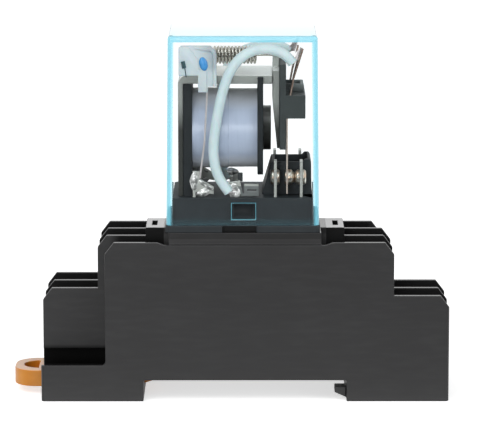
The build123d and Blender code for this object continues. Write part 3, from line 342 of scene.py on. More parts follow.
# Terminal screws and washers
# Pan-head steel screws with a square captive washer, zinc plated and clear passivated.
zinc, tree = start_material("zinc_plated_steel")
spot = add(tree, "ShaderNodeTexCoord").outputs["Object"]
patch = add(tree, "ShaderNodeTexNoise", {"Vector": spot, "Scale": 1 / (1.2 * MM), "Detail": 4.0})
tone = add(tree, "ShaderNodeMix", {"Factor": patch.outputs[0], "A": linear("#B9BDC2"),
                                   "B": linear("#DADBD6")}, data_type="RGBA")
rough = add(tree, "ShaderNodeMapRange", {"Value": patch.outputs[0], "To Min": 0.24, "To Max": 0.4})
plating = add(tree, "ShaderNodeBsdfPrincipled", {"Base Color": tone.outputs[2], "Metallic": 1.0,
                                                 "Roughness": rough.outputs[0]})
add(tree, "ShaderNodeOutputMaterial", {"Surface": plating.outputs[0]})

for key in [side + tier + bay for side in ("left_", "right_") for tier in ("lower_", "upper_")
            for bay in ("middle", "outer")]:
    strip = eased("terminal_" + key, "strip_" + key, 0.06 * MM)
    dress(strip, nickel, "socket")
    screw = eased("screw_" + key, "clamp_screw_" + key, 0.08 * MM)
    dress(screw, zinc, "screw_" + key)
    washer = eased("washer_" + key, "clamp_washer_" + key, 0.08 * MM)
    dress(washer, zinc, "screw_" + key)

# Relay base
# The black base that the blades are pressed into, with its flange, barrier tower and catches.
CATCH_AT = (-0.25, 30.1)
CATCH_LIP = 0.3
CATCH_DEEP = 1.8
BLOCK_PALE = (8.5, 50.2)
RECESS_AT = (-1.05, 27.35)
RECESS_HALF = 3.0
relay_blacks = []
for name, dark, light, painted_highlight in (("moulded_phenolic_base", "#2A2F32", "#383E42", 0.0),
                                 ("moulded_nylon_bobbin", "#1F2427", "#2B3033", 0.0),
                                 ("moulded_nylon_carrier", "#323839", "#434A4A", 1.0)):
    black, tree = start_material(name)
    spot = add(tree, "ShaderNodeTexCoord").outputs["Object"]
    cloud = add(tree, "ShaderNodeTexNoise", {"Vector": spot, "Scale": 1 / (3 * MM), "Detail": 3.0})
    tone = add(tree, "ShaderNodeMix", {"Factor": cloud.outputs[0], "A": linear(dark), "B": linear(light)},
               data_type="RGBA")
    across = add(tree, "ShaderNodeSeparateXYZ", {0: spot})
    # Painted highlight: on the carrier, the upper end of its block, where light falls, is drawn pale grey.
    high = add(tree, "ShaderNodeMapRange", {"Value": across.outputs["Z"], "From Min": BLOCK_PALE[1] * MM,
                                            "From Max": (BLOCK_PALE[1] + 1.5) * MM, "To Max": painted_highlight})
    high = add(tree, "ShaderNodeMath", {0: compare(tree, across.outputs["X"], BLOCK_PALE[0] * MM),
                                        1: high.outputs[0]}, operation="MULTIPLY")
    tone = add(tree, "ShaderNodeMix", {"Factor": high.outputs[0], "A": tone.outputs[2],
                                       "B": linear("#7C8484")}, data_type="RGBA")
    # Painted shade: below the flange's top the colour is drawn darker, near black in the front recess.
    off = add(tree, "ShaderNodeMath", {0: across.outputs["X"], 1: RECESS_AT[0] * MM}, operation="SUBTRACT")
    off = add(tree, "ShaderNodeMath", {0: off.outputs[0]}, operation="ABSOLUTE")
    near = add(tree, "ShaderNodeMapRange", {"Value": compare(tree, off.outputs[0], RECESS_HALF * MM, "LESS_THAN"),
                                            "To Min": 0.25})
    painted_recess_shade = add(tree, "ShaderNodeMath", {
        0: near.outputs[0], 1: compare(tree, across.outputs["Z"], RECESS_AT[1] * MM, "LESS_THAN")},
                      operation="MULTIPLY")
    tone = add(tree, "ShaderNodeMix", {"Factor": painted_recess_shade.outputs[0], "A": tone.outputs[2],
                                       "B": linear("#121314")}, data_type="RGBA")
    grain = add(tree, "ShaderNodeTexNoise", {"Vector": spot, "Scale": 1 / (0.6 * MM), "Detail": 1.0})
    dents = add(tree, "ShaderNodeBump", {"Height": grain.outputs[0], "Strength": 0.05, "Distance": 0.02 * MM})
    resin = add(tree, "ShaderNodeBsdfPrincipled", {"Base Color": tone.outputs[2], "IOR": 1.6,
                                                   "Roughness": 0.55, "Specular IOR Level": 0.2,
                                                   "Normal": dents.outputs[0]})
    add(tree, "ShaderNodeOutputMaterial", {"Surface": resin.outputs[0]})
    relay_blacks.append(black)
base_black, bobbin_black, carrier_black = relay_blacks
dress(eased("coil_bobbin", "bobbin_moulding", 0.1 * MM), bobbin_black, "relay")
dress(eased("contact_carrier", "carrier_moulding", 0.12 * MM), carrier_black, "armature")
moulding = eased("relay_base", "base_moulding", 0.1 * MM)
shape = bmesh.new()
shape.from_mesh(moulding.data)
for side in (-1, 1):
    catch = [f for f in shape.faces if f.normal.y * side > 0.9 and 2 < f.calc_area() / MM ** 2 < 14
             and abs(f.calc_center_median().x - CATCH_AT[0] * MM) < 1.0 * MM
             and abs(f.calc_center_median().z - CATCH_AT[1] * MM) < 1.2 * MM]
    bmesh.ops.inset_region(shape, faces=catch, thickness=CATCH_LIP * MM, use_boundary=True, use_even_offset=True)
    bmesh.ops.translate(shape, vec=(0, -side * CATCH_DEEP * MM, 0), verts=list({v for f in catch for v in f.verts}))
shape.to_mesh(moulding.data)
shape.free()
dress(moulding, base_black, "relay")

# Coil
# Enamelled wire on the bobbin under two turns of lilac grey polyester tape.
tape, tree = start_material("polyester_coil_tape")
spot = add(tree, "ShaderNodeTexCoord").outputs["Object"]
wrap = add(tree, "ShaderNodeMapping", {"Vector": spot, "Scale": (1 / (0.5 * MM), 1 / (6 * MM), 1 / (6 * MM))})
bands = add(tree, "ShaderNodeTexNoise", {"Vector": wrap.outputs[0], "Scale": 1.0, "Detail": 2.0})
tone = add(tree, "ShaderNodeMix", {"Factor": bands.outputs[0], "A": linear("#ABB8CE"),
                                   "B": linear("#BDC8DD")}, data_type="RGBA")
facing = add(tree, "ShaderNodeSeparateXYZ", {0: add(tree, "ShaderNodeNewGeometry").outputs["Normal"]})
# Painted light: faces that look up or down, shaded by the yoke, are drawn near white.
steep = add(tree, "ShaderNodeMath", {0: facing.outputs["Z"]}, operation="ABSOLUTE")
painted_light = add(tree, "ShaderNodeMapRange", {"Value": steep.outputs[0], "From Min": 0.55, "From Max": 1.0})
tone = add(tree, "ShaderNodeMix", {"Factor": painted_light.outputs[0], "A": tone.outputs[2],
                                   "B": linear("#FBFCFF")}, data_type="RGBA")
dents = add(tree, "ShaderNodeBump", {"Height": bands.outputs[0], "Strength": 0.3, "Distance": 0.08 * MM})
film = add(tree, "ShaderNodeBsdfPrincipled", {"Base Color": tone.outputs[2], "IOR": 1.6,
                                              "Roughness": 0.25, "Normal": dents.outputs[0]})
add(tree, "ShaderNodeOutputMaterial", {"Surface": film.outputs[0]})
dress(eased("coil_winding", "coil_tape_wrap", 0.05 * MM), tape, "relay")

# Magnet iron
# Core, yoke and armature of soft iron, tumbled and bright nickel plated.
iron, tree = start_material("nickel_plated_soft_iron")
spot = add(tree, "ShaderNodeTexCoord").outputs["Object"]
patch = add(tree, "ShaderNodeTexNoise", {"Vector": spot, "Scale": 1 / (1.5 * MM), "Detail": 4.0})
tone = add(tree, "ShaderNodeMix", {"Factor": patch.outputs[0], "A": linear("#A2A7A3"),
                                   "B": linear("#BABEBA")}, data_type="RGBA")
rough = add(tree, "ShaderNodeMapRange", {"Value": patch.outputs[0], "To Min": 0.4, "To Max": 0.6})
# Painted shade: below 44 mm, low in the cover, the iron is drawn dark grey, reaching full tone at 49 mm.
height = add(tree, "ShaderNodeSeparateXYZ", {0: spot})
bright = add(tree, "ShaderNodeMapRange", {"Value": height.outputs["Z"], "From Min": 44 * MM,
                                          "From Max": 49 * MM})
tone = add(tree, "ShaderNodeMix", {"Factor": bright.outputs[0], "A": linear("#4C4E4C"),
                                   "B": tone.outputs[2]}, data_type="RGBA")
# Painted reflection: faces that look up are drawn near white.
facing = add(tree, "ShaderNodeSeparateXYZ", {0: add(tree, "ShaderNodeNewGeometry").outputs["Normal"]})
upward = add(tree, "ShaderNodeMapRange", {"Value": facing.outputs["Z"], "From Min": 0.3, "From Max": 0.9})
tone = add(tree, "ShaderNodeMix", {"Factor": upward.outputs[0], "A": tone.outputs[2],
                                   "B": linear("#F6F8F6")}, data_type="RGBA")
metal = add(tree, "ShaderNodeBsdfPrincipled", {"Base Color": tone.outputs[2], "Metallic": 0.75,
                                               "Roughness": rough.outputs[0]})
add(tree, "ShaderNodeOutputMaterial", {"Surface": metal.outputs[0]})
dress(eased("iron_core", "core_pin", 0.08 * MM), iron, "relay")
dress(eased("yoke", "bent_yoke", 0.12 * MM), iron, "relay")
dress(eased("armature_plate", "armature_iron", 0.1 * MM), iron, "armature")

# Blades, lugs and contacts
# Tinned brass blades run on up to the fixed contacts; the moving leaves are copper alloy.
BACK_LEAF_TOP = 57.3
LUG_X = (-1.3, 2.7)
LUG_Z = 34.2
LEAF_COAT = 0.07
LEAF_BEND_Z = 56.0
tin, tree = start_material("tinned_brass_strip")
spot = add(tree, "ShaderNodeTexCoord").outputs["Object"]
patch = add(tree, "ShaderNodeTexNoise", {"Vector": spot, "Scale": 1 / (0.8 * MM), "Detail": 3.0})
rough = add(tree, "ShaderNodeMapRange", {"Value": patch.outputs[0], "To Min": 0.3, "To Max": 0.5})
across = add(tree, "ShaderNodeSeparateXYZ", {0: spot})
# The common lugs low on the base are drawn darker grey.
darker_lugs = compare(tree, across.outputs["Z"], LUG_Z * MM, "LESS_THAN")
for limit, kind in zip(LUG_X, ("GREATER_THAN", "LESS_THAN")):
    darker_lugs = add(tree, "ShaderNodeMath", {0: darker_lugs, 1: compare(tree, across.outputs["X"], limit * MM, kind)},
               operation="MULTIPLY").outputs[0]
tone = add(tree, "ShaderNodeMix", {"Factor": darker_lugs, "A": linear("#C6C9C4"), "B": linear("#868B8B")},
           data_type="RGBA")
metal = add(tree, "ShaderNodeBsdfPrincipled", {"Base Color": tone.outputs[2], "Metallic": 0.7,
                                               "Roughness": rough.outputs[0]})
add(tree, "ShaderNodeOutputMaterial", {"Surface": metal.outputs[0]})
copper, tree = start_material("rolled_copper_alloy_leaf")
spot = add(tree, "ShaderNodeTexCoord").outputs["Object"]
patch = add(tree, "ShaderNodeTexNoise", {"Vector": spot, "Scale": 1 / (0.9 * MM), "Detail": 3.0})
tone = add(tree, "ShaderNodeMix", {"Factor": patch.outputs[0], "A": linear("#6F5A4F"),
                                   "B": linear("#A08A7E")}, data_type="RGBA")
height = add(tree, "ShaderNodeSeparateXYZ", {0: spot})
bare = add(tree, "ShaderNodeMapRange", {"Value": height.outputs["Z"], "From Min": 46 * MM,
                                        "From Max": 52 * MM})
tone = add(tree, "ShaderNodeMix", {"Factor": bare.outputs[0], "A": linear("#DCCFC4"),
                                   "B": tone.outputs[2]}, data_type="RGBA")
metal = add(tree, "ShaderNodeBsdfPrincipled", {"Base Color": tone.outputs[2], "Metallic": 0.7,
                                               "Roughness": 0.35})
add(tree, "ShaderNodeOutputMaterial", {"Surface": metal.outputs[0]})
silver, tree = start_material("silver_alloy_rivet")
spot = add(tree, "ShaderNodeTexCoord").outputs["Object"]
patch = add(tree, "ShaderNodeTexNoise", {"Vector": spot, "Scale": 1 / (0.6 * MM), "Detail": 3.0})
rough = add(tree, "ShaderNodeMapRange", {"Value": patch.outputs[0], "To Min": 0.22, "To Max": 0.4})
warm = add(tree, "ShaderNodeMapRange", {"Value": patch.outputs[0], "From Min": 0.48, "From Max": 0.62})
tone = add(tree, "ShaderNodeMix", {"Factor": warm.outputs[0], "A": linear("#D3D2C9"),
                                   "B": linear("#DDC3AC")}, data_type="RGBA")
metal = add(tree, "ShaderNodeBsdfPrincipled", {"Base Color": tone.outputs[2], "Metallic": 1.0,
                                               "Roughness": rough.outputs[0]})
add(tree, "ShaderNodeOutputMaterial", {"Surface": metal.outputs[0]})
for row in ("front", "back"):
    for node, name in (("coil_terminal_", "coil_blade_"), ("com_terminal_", "common_blade_"),
                       ("no_strip_", "open_contact_blade_"), ("nc_strip_", "closed_contact_blade_")):
        dress(eased(node + row, name + row, 0.05 * MM), tin, "relay")
    leaf = eased("moving_spring_" + row, "contact_leaf_" + row, 0.02 * MM)
    shape = bmesh.new()
    shape.from_mesh(leaf.data)
    if row == "back":
        bmesh.ops.bisect_plane(shape, geom=shape.verts[:] + shape.edges[:] + shape.faces[:],
                               plane_co=(0, 0, BACK_LEAF_TOP * MM), plane_no=(0, 0, 1), clear_outer=True)
        bmesh.ops.holes_fill(shape, edges=[e for e in shape.edges if e.is_boundary], sides=0)
    shape.normal_update()
    for v in shape.verts:
        v.co += v.normal * LEAF_COAT * MM
        if row == "front" and v.co.z > LEAF_BEND_Z * MM:
            v.co.x += 0.35 * MM - (v.co.y + 8 * MM) * 0.16
    shape.to_mesh(leaf.data)
    shape.free()
    dress(leaf, copper, "armature")
dress(eased("no_contacts", "open_rivets", 0.1 * MM), silver, "relay")
dress(eased("nc_contacts", "closed_rivets", 0.1 * MM), silver, "relay")
dress(eased("moving_contacts", "moving_rivets", 0.1 * MM), silver, "armature")

# Return spring
# A close wound tension spring from the yoke's tab to the armature's post, on its two straight ends.
RELAY_AT = Vector((-0.4, 0, 26.3))
SPRING_START = -4.95
SPRING_Z = 30.2
SPRING_R = 1.42
SPRING_WIRE = 0.24
SPRING_PITCH = 0.62
SPRING_TURNS = 12
TAB_FACE = -7.9
POST_FACE = 5.4
STEPS = 26


def at(x, y, z):
    """A point of the relay, given in millimetres from the middle of its base's underside."""
    return (Vector((x, y, z)) + RELAY_AT) * MM


def rod(bm, low, high, radius, sides=12):
    """A round bar with closed ends, from one point to another."""
    way = high - low
    turn = way.to_track_quat("Z", "Y").to_matrix().to_4x4()
    bmesh.ops.create_cone(bm, cap_ends=True, segments=sides, radius1=radius, radius2=radius,
                          depth=way.length, matrix=Matrix.Translation((low + high) / 2) @ turn)


steel, tree = start_material("drawn_spring_steel")
spot = add(tree, "ShaderNodeTexCoord").outputs["Object"]
patch = add(tree, "ShaderNodeTexNoise", {"Vector": spot, "Scale": 1 / (0.5 * MM), "Detail": 2.0})
rough = add(tree, "ShaderNodeMapRange", {"Value": patch.outputs[0], "To Min": 0.14, "To Max": 0.26})
metal = add(tree, "ShaderNodeBsdfPrincipled", {"Base Color": linear("#BDBAB2"), "Metallic": 1.0,
                                               "Roughness": rough.outputs[0]})
add(tree, "ShaderNodeOutputMaterial", {"Surface": metal.outputs[0]})
spring_end = SPRING_START + SPRING_PITCH * SPRING_TURNS
winding = bmesh.new()
section = bmesh.ops.create_circle(winding, segments=8, radius=SPRING_WIRE * MM, matrix=Matrix.Translation(
    at(SPRING_START, 0, SPRING_Z + SPRING_R)) @ Matrix.Rotation(radians(90), 4, "X"))
loop = list({e for v in section["verts"] for e in v.link_edges})
bmesh.ops.spin(winding, geom=loop + section["verts"], cent=at(SPRING_START, 0, SPRING_Z), axis=(1, 0, 0),
               dvec=(SPRING_PITCH * MM / STEPS, 0, 0), angle=radians(360 * SPRING_TURNS),
               steps=STEPS * SPRING_TURNS)
bmesh.ops.holes_fill(winding, edges=[e for e in winding.edges if e.is_boundary], sides=0)
for coil_x, hold_x in ((SPRING_START, TAB_FACE), (spring_end, POST_FACE)):
    rod(winding, at(coil_x, 0, SPRING_Z + SPRING_R), at(coil_x, 0, SPRING_Z), SPRING_WIRE * MM)
    rod(winding, at(coil_x, 0, SPRING_Z), at(hold_x, 0, SPRING_Z), SPRING_WIRE * MM)
bmesh.ops.recalc_face_normals(winding, faces=winding.faces)
spring = place("wound_spring", winding, 50)
spring.data.materials.append(steel)
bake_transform(spring)
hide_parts("return_spring")

# Leads
# Soft pale insulation over tinned strands, from the common lug up to the moving leaf. The bare
# strands fan out at the leaf, where they are soldered on.
LEAD_R = 0.9
LEAD_Y = 8.08
FAN = 8
FRONT_TOP = [(8.75, 29.7), (7.4, 31.35), (4.3, 32.35), (0.8, 31.7)]
BACK_TOP = [(8.35, 29.85), (7.1, 30.8), (4.3, 31.05), (0.8, 30.4)]
LEAD_LOW = [(-1.95, 29.0), (-3.45, 25.2), (-4.6, 19.6), (-5.3, 14.4), (-4.6, 9.9), (-2.45, 6.85)]


def rounded(route, passes):
    """A route with its corners cut again and again, between its own two ends."""
    for _ in range(passes):
        cut = [p.lerp(q, share) for p, q in zip(route, route[1:]) for share in (0.25, 0.75)]
        route = [route[0]] + cut[1:-1] + [route[-1]]
    return route


def tube(bm, route, radius, sides=16):
    """A round tube along a route, its ends closed."""
    rings = []
    for i, spot in enumerate(route):
        ahead = route[min(i + 1, len(route) - 1)] - route[max(i - 1, 0)]
        turn = ahead.to_track_quat("Z", "Y").to_matrix().to_4x4()
        ring = bmesh.ops.create_circle(bm, segments=sides, radius=radius, matrix=Matrix.Translation(spot) @ turn)
        rings.append(list({e for v in ring["verts"] for e in v.link_edges}))
    for low, high in zip(rings, rings[1:]):
        bmesh.ops.bridge_loops(bm, edges=low + high)
    bmesh.ops.holes_fill(bm, edges=rings[0] + rings[-1], sides=0)


insulation, tree = start_material("soft_pvc_lead")
spot = add(tree, "ShaderNodeTexCoord").outputs["Object"]
cloud = add(tree, "ShaderNodeTexNoise", {"Vector": spot, "Scale": 1 / (2 * MM), "Detail": 2.0})
tone = add(tree, "ShaderNodeMix", {"Factor": cloud.outputs[0], "A": linear("#C4D8DC"),
                                   "B": linear("#DAEAEC")}, data_type="RGBA")
skin = add(tree, "ShaderNodeBsdfPrincipled", {"Base Color": tone.outputs[2], "IOR": 1.53, "Roughness": 0.4,
                                              "Subsurface Weight": 0.2, "Subsurface Scale": 0.5 * MM})
add(tree, "ShaderNodeOutputMaterial", {"Surface": skin.outputs[0]})
strand_tin, tree = start_material("tinned_copper_strand")
spot = add(tree, "ShaderNodeTexCoord").outputs["Object"]
patch = add(tree, "ShaderNodeTexNoise", {"Vector": spot, "Scale": 1 / (0.7 * MM), "Detail": 3.0})
tone = add(tree, "ShaderNodeMix", {"Factor": patch.outputs[0], "A": linear("#D8D0D0"),
                                   "B": linear("#F8F4F5")}, data_type="RGBA")
metal = add(tree, "ShaderNodeBsdfPrincipled", {"Base Color": tone.outputs[2], "Metallic": 0.6,
                                               "Roughness": 0.3})
add(tree, "ShaderNodeOutputMaterial", {"Surface": metal.outputs[0]})
for row, side, top in (("front", -1, FRONT_TOP), ("back", 1, BACK_TOP)):
    route = rounded([at(x, side * LEAD_Y, z) for x, z in top + LEAD_LOW], 3)
    jacket = bmesh.new()
    tube(jacket, route, LEAD_R * MM)
    bmesh.ops.recalc_face_normals(jacket, faces=jacket.faces)
    bare = bmesh.new()
    for lift in range(FAN):
        leave = route[0] + Vector((-0.1, side * (0.25 - 0.08 * lift), 0.09 * lift - 0.3)) * MM
        reach = at(9.35 + lift * 0.11, side * (7.75 - 0.06 * lift), top[0][1] + 0.2 + lift * 0.34)
        tube(bare, rounded([leave - Vector((0.3 * MM, 0, 0)), leave.lerp(reach, 0.5) + Vector((0, 0, 0.25 * MM)),
                            reach], 2), 0.15 * MM, 8)
    for lift in (-0.25, 0.25):
        tube(bare, rounded([route[-1] + Vector((-0.3, 0, lift)) * MM, at(-2.1, side * 8.2, 7.2 + lift),
                            at(-1.3, side * 8.1, 6.9 + lift)], 2), 0.16 * MM, 8)
    bmesh.ops.recalc_face_normals(bare, faces=bare.faces)
    for name, mesh, material, slot in (("lead_jacket_", jacket, insulation, "wire_pvc"),
                                       ("lead_strands_", bare, strand_tin, "tinned_wire")):
        lead = place(name + row, mesh, 60)
        lead.data.materials.append(material)
        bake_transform(lead)
        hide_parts("pigtail_" + row)
lamp_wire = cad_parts["led_lead"]
dress(lamp_wire, strand_tin)

# Solder
# Bright lumps where the coil's wire and the leads are soldered to their lugs.
solder, tree = start_material("hand_soldered_tin")
spot = add(tree, "ShaderNodeTexCoord").outputs["Object"]
flow = add(tree, "ShaderNodeTexNoise", {"Vector": spot, "Scale": 1 / (0.9 * MM), "Detail": 3.0})
tone = add(tree, "ShaderNodeMapRange", {"Value": flow.outputs[0], "From Min": 0.42, "From Max": 0.56})
tone = add(tree, "ShaderNodeMix", {"Factor": tone.outputs[0], "A": linear("#9A9C9A"),
                                   "B": linear("#FAFAF8")}, data_type="RGBA")
waves = add(tree, "ShaderNodeBump", {"Height": flow.outputs[0], "Strength": 0.6, "Distance": 0.3 * MM})
metal = add(tree, "ShaderNodeBsdfPrincipled", {"Base Color": tone.outputs[2], "Metallic": 0.55,
                                               "Roughness": 0.22, "Normal": waves.outputs[0]})
add(tree, "ShaderNodeOutputMaterial", {"Surface": metal.outputs[0]})
LUMPS = (((-8.5, 7.75, 8.8), (0.75, 0.5, 1.7), 0), ((-6.4, 7.8, 8.0), (1.6, 0.4, 0.42), 34),
         ((-7.0, 7.75, 6.7), (1.3, 0.35, 0.75), -20), ((-2.1, 7.6, 8.1), (1.45, 0.45, 0.62), 4),
         ((-1.35, 7.85, 6.65), (1.05, 0.35, 1.1), -12))
for row, side in (("front", -1), ("back", 1)):
    lumps = bmesh.new()
    for middle, size, lean in LUMPS:
        shape = Matrix.Translation(at(middle[0], side * middle[1], middle[2])) @ Matrix.Rotation(
            radians(lean), 4, "Y") @ Matrix.Diagonal([v * MM for v in size] + [1])
        ball = bmesh.ops.create_uvsphere(lumps, u_segments=28, v_segments=18, radius=1, matrix=shape)
        for v in ball["verts"]:
            v.co += noise.noise_vector(v.co / (0.8 * MM)) * 0.14 * MM
    solder_piece = place("solder_lumps_" + row, lumps, 80)
    dress(solder_piece, solder, "relay")

# Lamp
# A blue lamp against its milky holder on the yoke, with its resistor behind.
HOLDER_PLATES = (
    ([(-11.2, 27.5), (-11.2, 32.3), (-10.8, 32.7), (-5.6, 32.7), (-4.75, 31.9), (-4.55, 31.2), (-4.55, 25.6),
      (-6.1, 25.6), (-6.1, 24.6), (-7.8, 24.6), (-7.8, 27.5)], -8.62, -7.15),
    ([(-11.15, 27.6), (-11.15, 32.3), (-10.8, 32.65), (-9.5, 32.65), (-7.85, 30.5), (-7.6, 28.5), (-6.3, 28.4),
      (-6.3, 24.65), (-7.75, 24.65), (-7.75, 27.6)], -8.9, -8.55),
    ([(-5.15, 25.7), (-5.15, 31.3), (-5.6, 31.9), (-8.3, 32.2), (-8.6, 32.62), (-5.65, 32.62), (-4.8, 31.85),
      (-4.62, 31.2), (-4.62, 25.7)], -8.9, -8.55))


def slab(bm, outline, front, back):
    """A flat plate with an outline in X and Z, from a front to a back face."""
    face = bm.faces.new([bm.verts.new(at(x, front, z)) for x, z in outline])
    grown = bmesh.ops.extrude_face_region(bm, geom=[face])["geom"]
    bmesh.ops.translate(bm, vec=(0, (back - front) * MM, 0), verts=[v for v in grown if hasattr(v, "co")])


milky, tree = start_material("milky_moulded_nylon")
spot = add(tree, "ShaderNodeTexCoord").outputs["Object"]
cloud = add(tree, "ShaderNodeTexNoise", {"Vector": spot, "Scale": 1 / (2 * MM), "Detail": 2.0})
across = add(tree, "ShaderNodeSeparateXYZ", {0: spot})
# Painted shadow: the holder around the lamp, right of x -8.3 mm and high up, is drawn darker.
painted_shadow = add(tree, "ShaderNodeMapRange", {"Value": across.outputs["X"], "From Min": -8.3 * MM,
                                        "From Max": -6.0 * MM})
upper = add(tree, "ShaderNodeMapRange", {"Value": across.outputs["Z"], "From Min": 54.2 * MM,
                                         "From Max": 55.4 * MM})
painted_shadow = add(tree, "ShaderNodeMath", {0: painted_shadow.outputs[0], 1: upper.outputs[0]}, operation="MULTIPLY")
pale = add(tree, "ShaderNodeMix", {"Factor": cloud.outputs[0], "A": linear("#C0CDD2"),
                                   "B": linear("#D1DBDE")}, data_type="RGBA")
tone = add(tree, "ShaderNodeMix", {"Factor": painted_shadow.outputs[0], "A": pale.outputs[2],
                                   "B": linear("#ADBAC1")}, data_type="RGBA")
skin = add(tree, "ShaderNodeBsdfPrincipled", {"Base Color": tone.outputs[2], "IOR": 1.53, "Roughness": 0.35,
                                              "Subsurface Weight": 0.3, "Subsurface Scale": 0.6 * MM})
add(tree, "ShaderNodeOutputMaterial", {"Surface": skin.outputs[0]})
plates = bmesh.new()
for outline, front, back in HOLDER_PLATES:
    slab(plates, outline, front, back)
bmesh.ops.bevel(plates, geom=plates.edges[:], offset=0.1 * MM, offset_type="OFFSET", affect="EDGES",
                segments=3, profile=0.5, material=-1, clamp_overlap=True)
bmesh.ops.recalc_face_normals(plates, faces=plates.faces)
holder = place("lamp_holder", plates, 50)
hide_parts("led_holder")
dress(holder, milky, "relay")
# Painted shade: two dark teal rods stand where the slot beside the lamp and the line below it lie in shade.
slot_shade_rods = bmesh.new()
rod(slot_shade_rods, at(-10.45, -8.9, 30.1), at(-10.2, -8.9, 28.9), 0.36 * MM)
rod(slot_shade_rods, at(-10.1, -8.85, 29.0), at(-9.85, -8.85, 27.3), 0.1 * MM)
pin = place("painted_slot_shade", slot_shade_rods, 60)
shaded, tree = start_material("shaded_slot_nylon")
spot = add(tree, "ShaderNodeTexCoord").outputs["Object"]
cloud = add(tree, "ShaderNodeTexNoise", {"Vector": spot, "Scale": 1 / (0.7 * MM), "Detail": 2.0})
tone = add(tree, "ShaderNodeMix", {"Factor": cloud.outputs[0], "A": linear("#1D393E"),
                                   "B": linear("#33585E")}, data_type="RGBA")
skin = add(tree, "ShaderNodeBsdfPrincipled", {"Base Color": tone.outputs[2], "Roughness": 0.6})
add(tree, "ShaderNodeOutputMaterial", {"Surface": skin.outputs[0]})
dress(pin, shaded, "relay")

blue, tree = start_material("blue_epoxy_lens")
spot = add(tree, "ShaderNodeTexCoord").outputs["Object"]
cloud = add(tree, "ShaderNodeTexNoise", {"Vector": spot, "Scale": 1 / (0.8 * MM), "Detail": 2.0})
tone = add(tree, "ShaderNodeMix", {"Factor": cloud.outputs[0], "A": linear("#2C80C8"),
                                   "B": linear("#62B2EE")}, data_type="RGBA")
# Painted shade: the lens darkens to navy towards its rim, by the facing angle.
edge = add(tree, "ShaderNodeLayerWeight", {"Blend": 0.45})
tone = add(tree, "ShaderNodeMix", {"Factor": edge.outputs["Facing"], "A": tone.outputs[2],
                                   "B": linear("#1B4468")}, data_type="RGBA")
lens = add(tree, "ShaderNodeBsdfPrincipled", {"Base Color": tone.outputs[2], "IOR": 1.55, "Roughness": 0.2})
add(tree, "ShaderNodeOutputMaterial", {"Surface": lens.outputs[0]})
bulb = bmesh.new()
bmesh.ops.create_uvsphere(bulb, u_segments=32, v_segments=20, radius=1, matrix=Matrix.Translation(
    at(-6.85, -8.45, 29.6)) @ Matrix.Rotation(radians(-14), 4, "Y") @ Matrix.Diagonal(
        (0.78 * MM, 0.5 * MM, 1.3 * MM, 1)))
lamp_lens = place("lamp_lens", bulb, 80)
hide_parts("led_lamp")
dress(lamp_lens, blue, "relay")
coated, tree = start_material("lacquered_resistor")
spot = add(tree, "ShaderNodeTexCoord").outputs["Object"]
bands = add(tree, "ShaderNodeTexNoise", {"Vector": spot, "Scale": 1 / (1 * MM), "Detail": 2.0})
tone = add(tree, "ShaderNodeMix", {"Factor": bands.outputs[0], "A": linear("#C0AA7A"),
                                   "B": linear("#D4C296")}, data_type="RGBA")
skin = add(tree, "ShaderNodeBsdfPrincipled", {"Base Color": tone.outputs[2], "Roughness": 0.4})
add(tree, "ShaderNodeOutputMaterial", {"Surface": skin.outputs[0]})
dress(eased("series_resistor", "lamp_resistor", 0.1 * MM), coated, "relay")
RESISTOR_WIRES = (((-8.3, 7.6, 29.3), (-9.0, 7.4, 29.45), (-9.3, 4, 30.1), (-9.4, 0, 30.7), (-9.0, -4, 30.6),
                   (-8.0, -7.3, 30.2)),
                  ((-4.4, 7.6, 29.3), (-4.0, 7.6, 29.1), (-4.7, 7.75, 27.9), (-6.5, 8.3, 24), (-8.0, 8.35, 16),
                   (-8.5, 8.0, 9.6)))
wires = bmesh.new()
for route in RESISTOR_WIRES:
    tube(wires, rounded([at(*p) for p in route], 2), 0.16 * MM, 8)
bmesh.ops.recalc_face_normals(wires, faces=wires.faces)
dress(place("resistor_wires", wires, 60), strand_tin, "relay")

# Dust cover
# A clear moulded cover, tinted a little cyan. Light runs along its walls, so the roof's edge, the
# four corners and the cut edges of the latch windows glow. That glow is painted: a matt cyan band
# over the clear wall, darker at the very edge, with a faint band at the foot.
COVER_AT = (-0.4, 0, 27.55)
COVER_HALF = (13.47, 10.4)
COVER_LEAN = 0.0116
RIM = 0.97
RIM_LINE = 0.16
ROOF_LOW = 59.85
ROOF_TOP = 61.0
WINDOW_GLOW = 0.5
FOOT_GLOW = 0.08
WINDOW_AT = (-0.25, 30.1)
WINDOW_HALF = (2.2, 1.55)


clear, tree = start_material("clear_moulded_polycarbonate")
spot = add(tree, "ShaderNodeTexCoord").outputs["Object"]
swirl = add(tree, "ShaderNodeTexNoise", {"Vector": spot, "Scale": 1 / (6 * MM), "Detail": 2.0})
polish = add(tree, "ShaderNodeMapRange", {"Value": swirl.outputs[0], "To Min": 0.02, "To Max": 0.05})
low = add(tree, "ShaderNodeVectorMath", {0: spot, 1: [v * MM for v in COVER_AT]}, operation="SUBTRACT")
out = add(tree, "ShaderNodeSeparateXYZ", {0: add(tree, "ShaderNodeVectorMath", {0: low.outputs[0]},
                                                 operation="ABSOLUTE").outputs[0]})
corner = []
outer = []
for axis, half in zip("XY", COVER_HALF):
    wide = add(tree, "ShaderNodeMath", {0: out.outputs["Z"], 1: COVER_LEAN, 2: out.outputs[axis]},
               operation="MULTIPLY_ADD").outputs[0]
    corner.append(add(tree, "ShaderNodeMapRange", {"Value": wide, "From Min": (half - RIM - 0.2) * MM,
                                                   "From Max": (half - RIM + 0.4) * MM}).outputs[0])
    outer.append(compare(tree, wide, (half - RIM_LINE) * MM))
across = add(tree, "ShaderNodeSeparateXYZ", {0: spot})
facing = add(tree, "ShaderNodeSeparateXYZ", {0: add(tree, "ShaderNodeNewGeometry").outputs["Normal"]})
